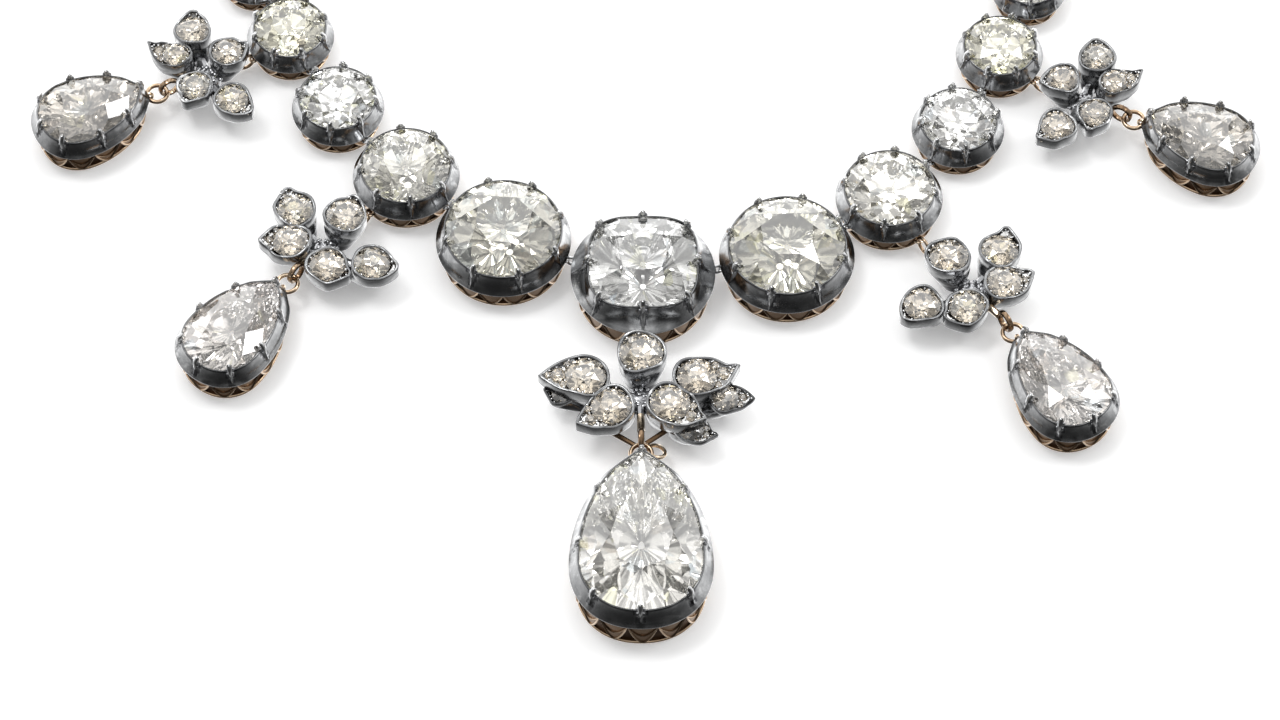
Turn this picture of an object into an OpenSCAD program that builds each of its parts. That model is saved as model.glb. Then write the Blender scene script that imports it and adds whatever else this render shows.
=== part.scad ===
// A diamond necklace laid flat: a graduated row of claw-set collets that closes in a loop,
// with five pear drops, each below a cluster of leaves. It stands on z = 0.
// Left and right are as seen from the front, where -Y is towards the viewer.

/* [Row] */
// Width of the cushion stone at the centre
cushion_w = 12.4; // [12:0.1:12.6]
// Outer width of the centre collet
centre_collet_w = 16.6; // [16.4:0.1:16.8]
// Collets on each side behind the five of the front
back_count = 14; // [13:1:14]
// Width of the stone behind the front ones
first_back_stone = 7.2; // [6.8:0.1:7.2]
// Width of the smallest stone, beside the clasp
last_back_stone = 4.6; // [4.2:0.1:4.8]
// How far the loop reaches behind the centre stone
loop_depth = 132; // [131:1:136]

/* [Collets] */
// Claws round each collet
claws = 8; // [6:1:10]
// Openings pierced through each gallery of the front
windows = 8; // [6:1:8]
// Thickness of the gold gallery
gallery_wall = 0.6; // [0.5:0.05:0.7]
// Space left round a stone in its setting
stone_gap = 0.06; // [0.05:0.01:0.08]

/* [Drops] */
// Width of the centre pear stone
centre_pear_w = 13.8; // [13.4:0.1:14]
// Width of the two lower pear stones
lower_pear_w = 9.2; // [9:0.1:9.4]
// Width of the two upper pear stones
upper_pear_w = 8.9; // [8.6:0.1:9]
// How far the silver lip stands out past the lower pear stones
pear_lip = 1; // [0.95:0.01:1.05]

/* [Leaves] */
// Width of a leaf's opening, as a share of the leaf
leaf_opening = 0.86; // [0.84:0.01:0.88]
// Radius of the boss that carries the leaves
hub_r = 1.9; // [1.6:0.1:2]
// Radius of the arms from the boss to the leaves
arm_r = 0.55; // [0.45:0.05:0.6]

/* [Wire] */
// Wire radius of the links between collets
link_wire = 0.18; // [0.16:0.01:0.2]
// Wire radius of the gold rings
ring_wire = 0.26; // [0.22:0.01:0.28]
// Radius of the ring that carries a pear, to the middle of its wire
drop_ring_r = 1.2; // [1.15:0.01:1.25]

/* [Clasp] */
// Length of the clasp along the necklace
clasp_l = 9; // [8:0.5:10]
// Width of the clasp
clasp_w = 5.4; // [4.5:0.1:6]

/* [Hidden] */
CURVE = 40;
SMALL = 20;
LEFT = -1;
RIGHT = 1;

// The front collets of each side, from the one beside the centre.
// heading is the way there from the collet before, in degrees from sideways to backwards.
STONE = 0;
HEADING = 1;
GAP = 2;
TURN = 3;
FRONT_LEFT = [
    // stone, heading, gap, claw turn
    [13.4, 16, 0.6, 16],
    [10.4, 39, 0.7, 8],
    [8.9, 50, 1.2, -8],
    [8.4, 60, 1.3, 22],
];
FRONT_RIGHT = [
    [13.4, 8, 0.6, -16],
    [10.4, 35, 0.6, -8],
    [8.9, 50, 1.3, 8],
    [8.4, 64, 1.4, -22],
];
FRONT_COUNT = len(FRONT_LEFT);
// Where the loop leaves the front: its heading and the pull of the curve there and at the clasp
BACK_HEADING = [61, 66];
BACK_PULL = 50;
CLASP_PULL = 42;

// Leaves of a cluster, from its hub: middle of the leaf, way its tip points, length, width,
// height of its rim, 1 with a peg to the floor
LEAF_X = 0;
LEAF_Y = 1;
TIP = 2;
LEAF_L = 3;
LEAF_W = 4;
RIM = 5;
PEG = 6;
CENTRE_LEAVES = [
    // x, y, tip, length, width, rim, peg
    [0.1, 4.3, -90, 5.8, 5.8, 5.6, 0],
    [-7.4, 1.6, 172, 8.2, 5.6, 5, 0],
    [7.5, 1.5, 8, 7.8, 5.4, 5.2, 0],
    [-4, -3.1, -141, 7.4, 5.4, 5, 0],
    [4.1, -2.8, -36, 7.4, 5.4, 5.2, 0],
    [-9, 0.5, 186, 3.8, 3.2, 2.9, 1],
    [10.2, -0.3, 8, 5.4, 4, 3.3, 1],
    [6.2, -4.6, -30, 5.2, 3.8, 3.2, 1],
];
LOWER_LEAVES = [
    [-3.5, 4.75, 125, 5.8, 5, 4.9, 0],
    [-4.25, 0.1, 170, 6.2, 5, 5, 0],
    [2.6, 3.5, 40, 5.3, 5.2, 5.2, 0],
    [0.8, -3.25, -50, 5.6, 5, 4.6, 0],
    [6, -2.9, -28, 5.6, 5, 4.6, 1],
];
UPPER_LEAVES = [
    [-1.85, 5.5, 110, 5, 4.6, 5, 0],
    [-4.5, 2.1, 163, 5.8, 3.8, 4.8, 0],
    [2.65, 2.2, 10, 4.8, 4.4, 5, 0],
    [-1.2, -2.65, -95, 4.8, 4.4, 4.6, 0],
    [3.5, -4.6, -50, 5.4, 4.6, 4.6, 1],
];

// Drops: side, carrying collet counted from the centre, hub of the leaves, leaves, which leaf is
// linked to the collet, middle of the pear's round end, way its tip points, stone width, tip reach
SIDE = 0;
CARRIER = 1;
HUB = 2;
LEAVES = 3;
LINKED = 4;
HEAD = 5;
AIM = 6;
PEAR_W = 7;
REACH = 8;
CENTRE_DROP = [LEFT, 0, [-0.3, -16.9], CENTRE_LEAVES, 0, [-0.2, -39.9], 90, centre_pear_w, 13.5];
LOWER_LEFT = [LEFT, 2, [-36.8, 3.35], LOWER_LEAVES, 2, [-47.5, -10.1], 53, lower_pear_w, 9.1];
LOWER_RIGHT = [RIGHT, 2, [37.6, -2.35], LOWER_LEAVES, 2, [48.1, -17.4], 122, lower_pear_w, 9.1];
UPPER_LEFT = [LEFT, 4, [-51.3, 28.1], UPPER_LEAVES, 2, [-66, 21.3], 26, upper_pear_w, 7.9];
UPPER_RIGHT = [RIGHT, 4, [51.6, 24.2], UPPER_LEAVES, 2, [66.4, 17.5], 154, upper_pear_w, 7.9];
DROPS = [CENTRE_DROP, LOWER_LEFT, LOWER_RIGHT, UPPER_LEFT, UPPER_RIGHT];
DROP_NAMES = ["centre", "lower_left", "lower_right", "upper_left", "upper_right"];

// Sizes of a round collet, all from its stone
function lip_out(stone) = 0.7 + 0.03 * stone;
function lip_r(stone) = stone / 2 + lip_out(stone);
function girdle_z(stone) = 2.9 + 0.18 * stone;
function skirt_h(stone) = 1.1 + 0.07 * stone;
function lip_z(stone) = girdle_z(stone) - skirt_h(stone);
function pavilion_h(stone) = min(0.42 * stone, girdle_z(stone) - 0.5);
GIRDLE = 0.12;
// Where the lower girdle facets of a stone meet its main facets, as shares of its width and depth
HALF_SIZE = 0.42;
HALF_DEPTH = 0.64;
function pavilion_slope(r, pavilion) = (HALF_DEPTH * pavilion - GIRDLE) / ((1 - HALF_SIZE) * r);
LIP_EDGE = 0.2;
GALLERY_IN = 0.5;
BASE_IN = 0.75;
RIM_OUT = 0.3;
RIM_UP = 0.1;
SEAT = 0.5;

// The centre collet and the pears are deeper
CENTRE_AT = [0, -0.4];
CENTRE_GIRDLE_Z = 6;
CENTRE_LIP_Z = 3.8;
CENTRE_PAVILION = 5.3;
CUSHION = 3.2;
centre_lip_r = centre_collet_w / 2;

// Eyes of wire: their radius to the middle of the wire, and how far they sit inside the lip
EYE_R = 0.4;
EYE_WIRE = 0.15;
EYE_IN = 0.3;
LINK_DOWN = 0.2;
GOLD_EYE_R = 0.45;
GOLD_EYE_WIRE = 0.17;
GOLD_EYE_OUT = 0.5;
CARRIER_RING_R = 1.05;
CARRIER_RING_Z = 1.45;
DROP_RING_Z = 2.7;
BAIL_R = 0.95;
BAIL_OUT = 0.2;
BAIL_UP = 0.25;
PEAR_EYE_R = 0.62;
PEAR_EYE_OUT = 0.35;

function front(side) = side == LEFT ? FRONT_LEFT : FRONT_RIGHT;
function front_lip(side, k) = k == 0 ? centre_lip_r : lip_r(front(side)[k - 1][STONE]);
function pitch(side, k) = front_lip(side, k - 1) + front_lip(side, k) + front(side)[k - 1][GAP];
function ahead(side, heading) = [side * cos(heading), sin(heading)];
function front_at(side, k) =
    k == 0 ? [0, 0]
    : front_at(side, k - 1) + pitch(side, k) * ahead(side, front(side)[k - 1][HEADING]);

// The hidden part of the loop: one smooth curve on each side, from the last front collet to the clasp
STEPS = 120;
function bezier(a, b, c, d, t) =
    pow(1 - t, 3) * a + 3 * t * pow(1 - t, 2) * b + 3 * t * t * (1 - t) * c + pow(t, 3) * d;
function clasp_end(side) = [side * clasp_l / 2, loop_depth];
function back_curve(side) =
    let (a = front_at(side, FRONT_COUNT), d = clasp_end(side))
    let (b = a + BACK_PULL * ahead(side, BACK_HEADING[side == LEFT ? 0 : 1]))
    let (c = d + [side * CLASP_PULL, 0])
    [for (i = [0:STEPS]) bezier(a, b, c, d, i / STEPS)];
function running(points, i = 0, done = 0) =
    i == len(points) - 1 ? [done]
    : concat([done], running(points, i + 1, done + norm(points[i + 1] - points[i])));
LEFT_CURVE = back_curve(LEFT);
RIGHT_CURVE = back_curve(RIGHT);
LEFT_RUN = running(LEFT_CURVE);
RIGHT_RUN = running(RIGHT_CURVE);
function curve(side) = side == LEFT ? LEFT_CURVE : RIGHT_CURVE;
function run(side) = side == LEFT ? LEFT_RUN : RIGHT_RUN;
function on_curve(side, s) = [
    for (axis = [0:1]) lookup(s, [for (i = [0:STEPS]) [run(side)[i], curve(side)[i][axis]]])
];

function back_stone(k) =
    first_back_stone + (last_back_stone - first_back_stone) * k / (back_count - 1);
function sum(list, i = 0) = i == len(list) ? 0 : list[i] + sum(list, i + 1);
back_lips = [for (k = [0:back_count - 1]) lip_r(back_stone(k))];
function back_gap(side) =
    (run(side)[STEPS] - front_lip(side, FRONT_COUNT) - 2 * sum(back_lips)) / (back_count + 1);
function back_run(side, k) =
    k == 0 ? front_lip(side, FRONT_COUNT) + back_lips[0] + back_gap(side)
    : back_run(side, k - 1) + back_lips[k - 1] + back_lips[k] + back_gap(side);

// Every place along one side: x and y, stone, how far out its link eyes sit, height of its lip
function row(side) = concat(
    [[CENTRE_AT, cushion_w, centre_lip_r - EYE_IN, CENTRE_LIP_Z]],
    [for (k = [1:FRONT_COUNT])
        let (stone = front(side)[k - 1][STONE])
        [front_at(side, k), stone, lip_r(stone) - EYE_IN, lip_z(stone)]],
    [for (k = [0:back_count - 1])
        let (stone = back_stone(k))
        [on_curve(side, back_run(side, k)), stone, lip_r(stone) - EYE_IN, lip_z(stone)]],
    [[clasp_end(side), 0, -EYE_IN, lip_z(last_back_stone)]]
);
AT = 0;
EYE_OUT = 2;
LIP_Z = 3;
LEFT_ROW = row(LEFT);
RIGHT_ROW = row(RIGHT);
function row_of(side) = side == LEFT ? LEFT_ROW : RIGHT_ROW;
LAST = FRONT_COUNT + back_count;
function link_ends(side, k) =
    let (here = row_of(side)[k], next = row_of(side)[k + 1])
    [here[AT] + polar(here[EYE_OUT], way(here[AT], next[AT])),
     next[AT] + polar(next[EYE_OUT], way(next[AT], here[AT]))];
function link_r(side, k) = norm(link_ends(side, k)[1] - link_ends(side, k)[0]) / 2;
function link_z(side, k) =
    min(row_of(side)[k][LIP_Z], row_of(side)[k + 1][LIP_Z]) - link_r(side, k) - LINK_DOWN;
function way(from, to) = atan2(to[1] - from[1], to[0] - from[0]);
function polar(r, angle) = r * [cos(angle), sin(angle)];

// Outline of a pear or a leaf with its tip at +Y: a round end and two arcs that meet at the tip,
// or past it where blunt is over 1
function pear_x(w, reach, y, blunt) =
    let (r = reach * blunt, arc = (w * w + r * r) / (2 * w)) sqrt(max(0, arc * arc - y * y)) - (arc - w);
function signed(v, power) = sign(v) * pow(abs(v), power);
function pear(w, reach, sides, blunt = 1) = [
    for (i = [0:sides - 1])
        let (t = 360 * i / sides)
        t <= 180
            ? [sign(round(cos(t) * 1000)) * pear_x(w, reach, reach * sin(t), blunt), reach * sin(t)]
            : [signed(cos(t), 0.92) * w, signed(sin(t), 0.92) * w]
];
function superellipse(w, power, sides) = [
    for (i = [0:sides - 1])
        let (t = 360 * i / sides)
        [signed(cos(t), 2 / power) * w, signed(sin(t), 2 / power) * w]
];
function turned(p, angle) =
    [p[0] * cos(angle) - p[1] * sin(angle), p[0] * sin(angle) + p[1] * cos(angle)];

// A ring of points round a pear stone, a distance out from it, and how far out its silver lip is
PEAR_SIDES = 32;
PEAR_BLUNT = 1.08;
function pear_reach(drop, out) = drop[REACH] + out * 1.1;
function pear_ring(drop, out, z) = [
    for (p = pear(drop[PEAR_W] / 2 + out, pear_reach(drop, out), PEAR_SIDES, PEAR_BLUNT)) [p[0], p[1], z]
];
function lip_past(drop) = pear_lip + 0.03 * (drop[PEAR_W] - lower_pear_w);

// Middle of the bounding box, which becomes the origin
function pear_lip_x(drop) = [
    for (p = pear_ring(drop, lip_past(drop), 0)) drop[HEAD][0] + turned(p, drop[AIM] - 90)[0]
];
front_edge = CENTRE_DROP[HEAD][1] - centre_pear_w / 2 - lip_past(CENTRE_DROP);
back_edge = max(
    loop_depth + clasp_w / 2,
    LEFT_ROW[LAST][AT][1] + lip_r(last_back_stone),
    RIGHT_ROW[LAST][AT][1] + lip_r(last_back_stone)
);
middle = [
    (min(pear_lip_x(UPPER_LEFT)) + max(pear_lip_x(UPPER_RIGHT))) / 2,
    (front_edge + back_edge) / 2,
];

module silver() {
    color([0.45, 0.46, 0.48]) children();
}

module gold() {
    color([0.78, 0.53, 0.36]) children();
}

module diamond(tint) {
    color(tint) children();
}

WHITE = [0.92, 0.93, 0.95];
PALE_YELLOW = [0.9, 0.88, 0.78];
CHAMPAGNE = [0.84, 0.78, 0.68];

module torus(r, wire) {
    rotate_extrude($fn = CURVE)
        translate([r, 0])
            circle(r = wire, $fn = SMALL);
}

// A solid through rings of points with the same count, from its top ring to its bottom ring
module loft(rings) {
    sides = len(rings[0]);
    points = [for (ring = rings) each ring];
    top = [for (i = [sides - 1:-1:0]) i];
    bottom = [for (i = [0:sides - 1]) (len(rings) - 1) * sides + i];
    walls = [
        for (level = [0:len(rings) - 2], i = [0:sides - 1])
            let (a = level * sides + i, b = level * sides + (i + 1) % sides)
            each [[a, b, b + sides], [a, b + sides, a + sides]]
    ];
    polyhedron(points = points, faces = concat([top], walls, [bottom]));
}

function lifted(outline, size, z, centre = [0, 0]) =
    [for (p = outline) [centre[0] + (p[0] - centre[0]) * size, centre[1] + (p[1] - centre[1]) * size, z]];

// A brilliant with a table, eight star, eight bezel and sixteen girdle facets above,
// and sixteen girdle and eight main facets below. outline has sixteen points, the widest ring.
module brilliant(outline, centre, crown, pavilion, table_size = 0.52, star_size = 0.8) {
    mains = [for (i = [0:7]) outline[2 * i]];
    halves = [for (i = [0:7]) outline[2 * i + 1]];
    points = concat(
        lifted(mains, table_size, crown, centre),
        lifted(halves, star_size, crown * 0.5, centre),
        lifted(outline, 1, GIRDLE, centre),
        lifted(outline, 1, -GIRDLE, centre),
        lifted(halves, HALF_SIZE, -pavilion * HALF_DEPTH, centre),
        lifted(mains, 0.07, -pavilion, centre)
    );
    star = 8;
    top = 16;
    low = 32;
    half = 48;
    culet = 56;
    faces = concat(
        [[for (i = [7:-1:0]) i]],
        [for (i = [0:7])
            let (n = (i + 1) % 8, p = (i + 7) % 8)
            let (m = 2 * i, o = 2 * i + 1, q = (2 * i + 2) % 16)
            each [
                [i, n, star + i],
                [i, star + i, top + m],
                [i, top + m, star + p],
                [star + i, top + o, top + m],
                [star + i, top + q, top + o],
                [top + m, top + o, low + o],
                [top + m, low + o, low + m],
                [top + o, top + q, low + q],
                [top + o, low + q, low + o],
                [half + i, low + m, low + o],
                [half + i, low + o, low + q],
                [culet + i, half + p, low + m],
                [culet + i, low + m, half + i],
                [culet + i, half + i, culet + n],
            ]],
        [[for (i = [0:7]) culet + i]]
    );
    polyhedron(points = points, faces = faces);
}

// A plainer small stone: a table and eight facets above, eight below
module small_stone(outline, centre, crown, pavilion) {
    loft([
        lifted(outline, 0.56, crown, centre),
        lifted(outline, 1, GIRDLE / 2, centre),
        lifted(outline, 1, -GIRDLE / 2, centre),
        lifted(outline, 0.08, -pavilion, centre),
    ]);
}

// One claw: a rib that runs up the skirt from the lip and ends in a bead over the stone's edge
module claw(low_r, low_z, high_r, high_z, size) {
    run_out = low_r - high_r;
    rise = high_z - low_z;
    translate([low_r, 0, low_z])
        rotate([0, -atan2(run_out, rise), 0])
            cylinder(h = norm([run_out, rise]), r = size * 0.72, $fn = CLAW_SIDES);
    translate([high_r, 0, high_z])
        sphere(r = size, $fn = SMALL);
}

// Triangular openings that leave a zigzag of wire in the gallery wall
module gallery_window(out, top_z, width) {
    FLOOR_RAIL = 0.5;
    translate([out, 0, 0])
        rotate([90, 0, 90])
            linear_extrude(height = 3, center = true)
                polygon([[-width / 2, FLOOR_RAIL], [width / 2, FLOOR_RAIL], [0, top_z]]);
}

module eye(at, angle, out, z, r, wire) {
    translate([at[0], at[1], 0] + [out * cos(angle), out * sin(angle), z])
        torus(r, wire);
}

// A ring that stands upright through the eyes at a and b
module standing_ring(a, b, z, r, wire) {
    middle_of = (a + b) / 2;
    translate([middle_of[0], middle_of[1], z])
        rotate([90, 0, way(a, b)])
            torus(r, wire);
}

module collet_body(stone, lip, girdle, skirt_z) {
    r = stone / 2;
    slope = pavilion_slope(r, pavilion_h(stone));
    seat_z = girdle - GIRDLE - stone_gap;
    rotate_extrude($fn = CURVE * 2)
        polygon([
            [lip - BASE_IN - gallery_wall, 0],
            [lip - BASE_IN, 0],
            [lip - GALLERY_IN, skirt_z - 0.35],
            [lip, skirt_z],
            [lip, skirt_z + LIP_EDGE],
            [r + RIM_OUT, girdle + RIM_UP],
            [r + stone_gap, girdle + RIM_UP],
            [r + stone_gap, seat_z],
            [r - SEAT, seat_z - SEAT * slope],
            [r - SEAT, skirt_z - 0.4],
            [lip - BASE_IN - gallery_wall, skirt_z - 0.9],
        ]);
}

// power is the stone's outline: 2 is round, more is squarer
module claw_ring(stone, power, lip, girdle, skirt_z, turn, size) {
    for (i = [0:claws - 1])
        let (t = turn + 90 + 360 * i / claws)
        let (edge = stone / 2 * pow(pow(abs(cos(t)), power) + pow(abs(sin(t)), power), -1 / power))
        rotate(t)
            claw(lip - CLAW_IN, skirt_z + CLAW_UP, edge + BEAD, girdle + BEAD, size);
}

module window_ring(lip, skirt_z, turn) {
    for (i = [0:windows - 1])
        rotate(turn + 360 * (i + 0.5) / windows)
            gallery_window(lip - 1, skirt_z - 1,
                2 * (lip - BASE_IN - gallery_wall) * sin(180 / windows) - WINDOW_BAR);
}

CLAW = 0.3;
CLAW_SIDES = 8;
CLAW_IN = 0.25;
CLAW_UP = 0.35;
BEAD = 0.35;
WINDOW_BAR = 0.5;
module round_collet(at, stone, turn, pierced) {
    lip = lip_r(stone);
    skirt_z = lip_z(stone);
    translate([at[0], at[1], 0]) {
        difference() {
            collet_body(stone, lip, girdle_z(stone), skirt_z);
            if (pierced) window_ring(lip, skirt_z, turn);
        }
        claw_ring(stone, 2, lip, girdle_z(stone), skirt_z, turn, CLAW + 0.012 * (stone - 8));
    }
}

// The eyes of one collet, or of the clasp, towards its neighbours in the row
module row_eyes(side, k) {
    place = row_of(side)[k];
    for (other = [k - 1, k + 1])
        if (other >= 0 && other <= LAST + 1)
            eye(place[AT], way(place[AT], row_of(side)[other][AT]), place[EYE_OUT],
                link_z(side, min(k, other)), EYE_R, EYE_WIRE);
}

// The centre collet: round outside, with a seat cut to the cushion
module centre_collet() {
    half = cushion_w / 2;
    reach = half * pow(2, 0.5 - 1 / CUSHION) + 0.25;
    slope = pavilion_slope(half, CENTRE_PAVILION);
    seat_z = CENTRE_GIRDLE_Z - GIRDLE - stone_gap;
    difference() {
        rotate_extrude($fn = CURVE * 2)
            polygon([
                [centre_lip_r - BASE_IN - gallery_wall, 0],
                [centre_lip_r - BASE_IN, 0],
                [centre_lip_r - GALLERY_IN, CENTRE_LIP_Z - 0.35],
                [centre_lip_r, CENTRE_LIP_Z],
                [centre_lip_r, CENTRE_LIP_Z + LIP_EDGE],
                [reach, CENTRE_GIRDLE_Z + RIM_UP],
                [half - 1.2, CENTRE_GIRDLE_Z + RIM_UP],
                [half - 1.2, CENTRE_LIP_Z + 0.4],
                [centre_lip_r - BASE_IN - gallery_wall, CENTRE_LIP_Z - 0.9],
            ]);
        loft([
            lifted(superellipse(half + stone_gap, CUSHION, 32), 1, CENTRE_GIRDLE_Z + 1),
            lifted(superellipse(half + stone_gap, CUSHION, 32), 1, seat_z),
            lifted(superellipse(half - SEAT, CUSHION, 32), 1, seat_z - SEAT * slope),
            lifted(superellipse(half - SEAT, CUSHION, 32), 1, CENTRE_LIP_Z - 1),
        ]);
        window_ring(centre_lip_r, CENTRE_LIP_Z, 0);
    }
    claw_ring(cushion_w, CUSHION, centre_lip_r, CENTRE_GIRDLE_Z, CENTRE_LIP_Z, 0, CLAW + 0.06);
}

module cushion_stone() {
    translate([CENTRE_AT[0], CENTRE_AT[1], CENTRE_GIRDLE_Z])
        brilliant(superellipse(cushion_w / 2, CUSHION, 16), [0, 0], 2.3, CENTRE_PAVILION, 0.46);
}

module round_stone(at, stone, turn) {
    translate([at[0], at[1], girdle_z(stone)])
        rotate(turn)
            brilliant(superellipse(stone / 2, 2, 16), [0, 0], 0.16 * stone, pavilion_h(stone));
}

// A pear setting with its claws and the eye at its tip
function pear_girdle_z(drop) = 2.6 + 0.29 * drop[PEAR_W];
function pear_lip_z(drop) = pear_girdle_z(drop) - 1.5 - 0.05 * drop[PEAR_W];
function pear_pavilion(drop) = pear_girdle_z(drop) - 0.6;
function pear_centre(drop) = [0, drop[REACH] * 0.26];
function pear_point(drop, out, t) =
    pear(drop[PEAR_W] / 2 + out, pear_reach(drop, out), 360, PEAR_BLUNT)[t];

module placed_drop(drop) {
    translate([drop[HEAD][0], drop[HEAD][1], 0])
        rotate(drop[AIM] - 90)
            children();
}

module pear_claw(drop, t) {
    low = pear_point(drop, lip_past(drop) - CLAW_IN, t);
    high = pear_point(drop, BEAD, t);
    gap = norm(low - high);
    translate([low[0], low[1], 0])
        rotate(way(high, low))
            claw(0, pear_lip_z(drop) + CLAW_UP, -gap, pear_girdle_z(drop) + BEAD, CLAW + 0.02);
}

module pear_setting(drop) {
    girdle = pear_girdle_z(drop);
    lip = pear_lip_z(drop);
    out = lip_past(drop);
    slope = pavilion_slope(drop[PEAR_W] / 2, pear_pavilion(drop));
    CLAW_PLACES = [8, 42, 90, 138, 172, 222, 270, 318];
    WINDOW_PLACES = [25, 56, 124, 155, 197, 246, 294, 343];
    placed_drop(drop) {
        difference() {
            loft([
                pear_ring(drop, RIM_OUT, girdle + RIM_UP),
                pear_ring(drop, out, lip + LIP_EDGE),
                pear_ring(drop, out, lip),
                pear_ring(drop, out - GALLERY_IN, lip - 0.35),
                pear_ring(drop, out - BASE_IN, 0),
            ]);
            loft([
                pear_ring(drop, stone_gap, girdle + 1),
                pear_ring(drop, stone_gap, girdle - GIRDLE - stone_gap),
                pear_ring(drop, -SEAT, girdle - GIRDLE - stone_gap - SEAT * slope),
                pear_ring(drop, -SEAT - 0.2, lip - 0.4),
                pear_ring(drop, out - BASE_IN - gallery_wall, lip - 0.9),
                pear_ring(drop, out - BASE_IN - gallery_wall, -1),
            ]);
            for (t = WINDOW_PLACES)
                let (p = pear_point(drop, 0, t), q = pear_point(drop, 0, t + 1))
                translate([p[0], p[1], 0])
                    rotate(way(p, q) - 90)
                        gallery_window(0, lip - 1, drop[PEAR_W] * 0.26);
        }
        for (t = CLAW_PLACES)
            pear_claw(drop, t);
        translate([0, pear_reach(drop, out - GALLERY_IN) + PEAR_EYE_OUT, DROP_RING_Z])
            rotate([90, 0, 90])
                torus(PEAR_EYE_R, GOLD_EYE_WIRE + 0.02);
    }
}

module pear_stone(drop) {
    placed_drop(drop)
        translate([0, 0, pear_girdle_z(drop)])
            brilliant(pear(drop[PEAR_W] / 2, drop[REACH], 16, PEAR_BLUNT), pear_centre(drop),
                0.15 * drop[PEAR_W], pear_pavilion(drop), 0.5);
}

// Along a drop, outwards from the pear's tip: where the ring and the bail sit
function ring_reach(drop) =
    pear_reach(drop, lip_past(drop) - GALLERY_IN) + PEAR_EYE_OUT + drop_ring_r;
function ring_at(drop) = drop[HEAD] + polar(ring_reach(drop), drop[AIM]);
function bail_at(drop) = drop[HEAD] + polar(ring_reach(drop) + drop_ring_r + BAIL_OUT, drop[AIM]);

module drop_ring(drop) {
    translate([ring_at(drop)[0], ring_at(drop)[1], DROP_RING_Z])
        torus(drop_ring_r, ring_wire);
}

// Leaves: cups with pointed rims on a common boss
LEAF_SIDES = 16;
function leaf_place(drop, leaf) =
    [(drop[SIDE] == LEFT ? 1 : -1) * leaf[LEAF_X], leaf[LEAF_Y]];
function leaf_tip(drop, leaf) = drop[SIDE] == LEFT ? leaf[TIP] : 180 - leaf[TIP];
function leaf_reach(leaf) = leaf[LEAF_L] - leaf[LEAF_W] / 2;
function leaf_outline(leaf, size) =
    let (half = leaf[LEAF_W] / 2, back = (leaf_reach(leaf) - half) / 2)
    [for (p = pear(half, leaf_reach(leaf), LEAF_SIDES)) [p[0], p[1] - back] * size];
LEAF_FLOOR = 1.3;
LOW_FLOOR = 0.9;
LOW_RIM = 4;
CUP_WAIST = 0.92;
CUP_WAIST_DOWN = 1;
CUP_FOOT = 0.6;
HOLLOW_DEPTH = 0.62;
HOLLOW_END = 1.7;
HOLLOW_END_SIZE = 0.3;
LEAF_GIRDLE_DOWN = 0.5;
LEAF_CROWN = 0.5;
LEAF_PAVILION = 0.85;
LEAF_STONE_GAP = 0.04;

// The boss of a cluster, its arms and its pegs
BOSS_Z = 0.9;
BOSS_H = 2.3;
ARM_SIDES = 8;
ARM_Z = 2.2;
ARM_SHARE = 0.8;
PEG_SHARE = 0.9;
PEG_R = 0.45;

function leaf_ring(drop, leaf, size, z, inward = 0) =
    let (place = leaf_place(drop, leaf))
    [for (p = leaf_outline(leaf, size))
        let (q = turned(p, leaf_tip(drop, leaf) - 90) + place * (1 - inward))
        [q[0], q[1], z]];

module leaf_cup(drop, leaf) {
    under = leaf[RIM] < LOW_RIM;
    loft([
        leaf_ring(drop, leaf, 1, leaf[RIM]),
        leaf_ring(drop, leaf, CUP_WAIST, leaf[RIM] - CUP_WAIST_DOWN, 0.05),
        leaf_ring(drop, leaf, CUP_FOOT, under ? LOW_FLOOR : LEAF_FLOOR, under ? 0.2 : 0.3),
    ]);
}

module leaf_hollow(drop, leaf) {
    loft([
        leaf_ring(drop, leaf, leaf_opening, leaf[RIM] + 1.2),
        leaf_ring(drop, leaf, leaf_opening, leaf[RIM] - HOLLOW_DEPTH),
        leaf_ring(drop, leaf, HOLLOW_END_SIZE, leaf[RIM] - HOLLOW_END),
    ]);
}

module arm(from, to, from_z, to_z, r) {
    along = to - from;
    rise = to_z - from_z;
    translate([from[0], from[1], from_z])
        rotate([0, atan2(norm(along), rise), atan2(along[1], along[0])])
            cylinder(h = norm([norm(along), rise]), r = r, $fn = ARM_SIDES);
}

function linked_place(drop) = drop[HUB] + leaf_place(drop, drop[LEAVES][drop[LINKED]]);
function carrier_place(drop) = row_of(drop[SIDE])[drop[CARRIER]][AT];
function carrier_lip(drop) = front_lip(drop[SIDE], drop[CARRIER]);
function carrier_eye(drop) =
    carrier_place(drop)
    + polar(carrier_lip(drop) - BASE_IN + GOLD_EYE_OUT, way(carrier_place(drop), linked_place(drop)));
function leaf_eye(drop) =
    carrier_eye(drop) + polar(2 * CARRIER_RING_R, way(carrier_place(drop), linked_place(drop)));

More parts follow.
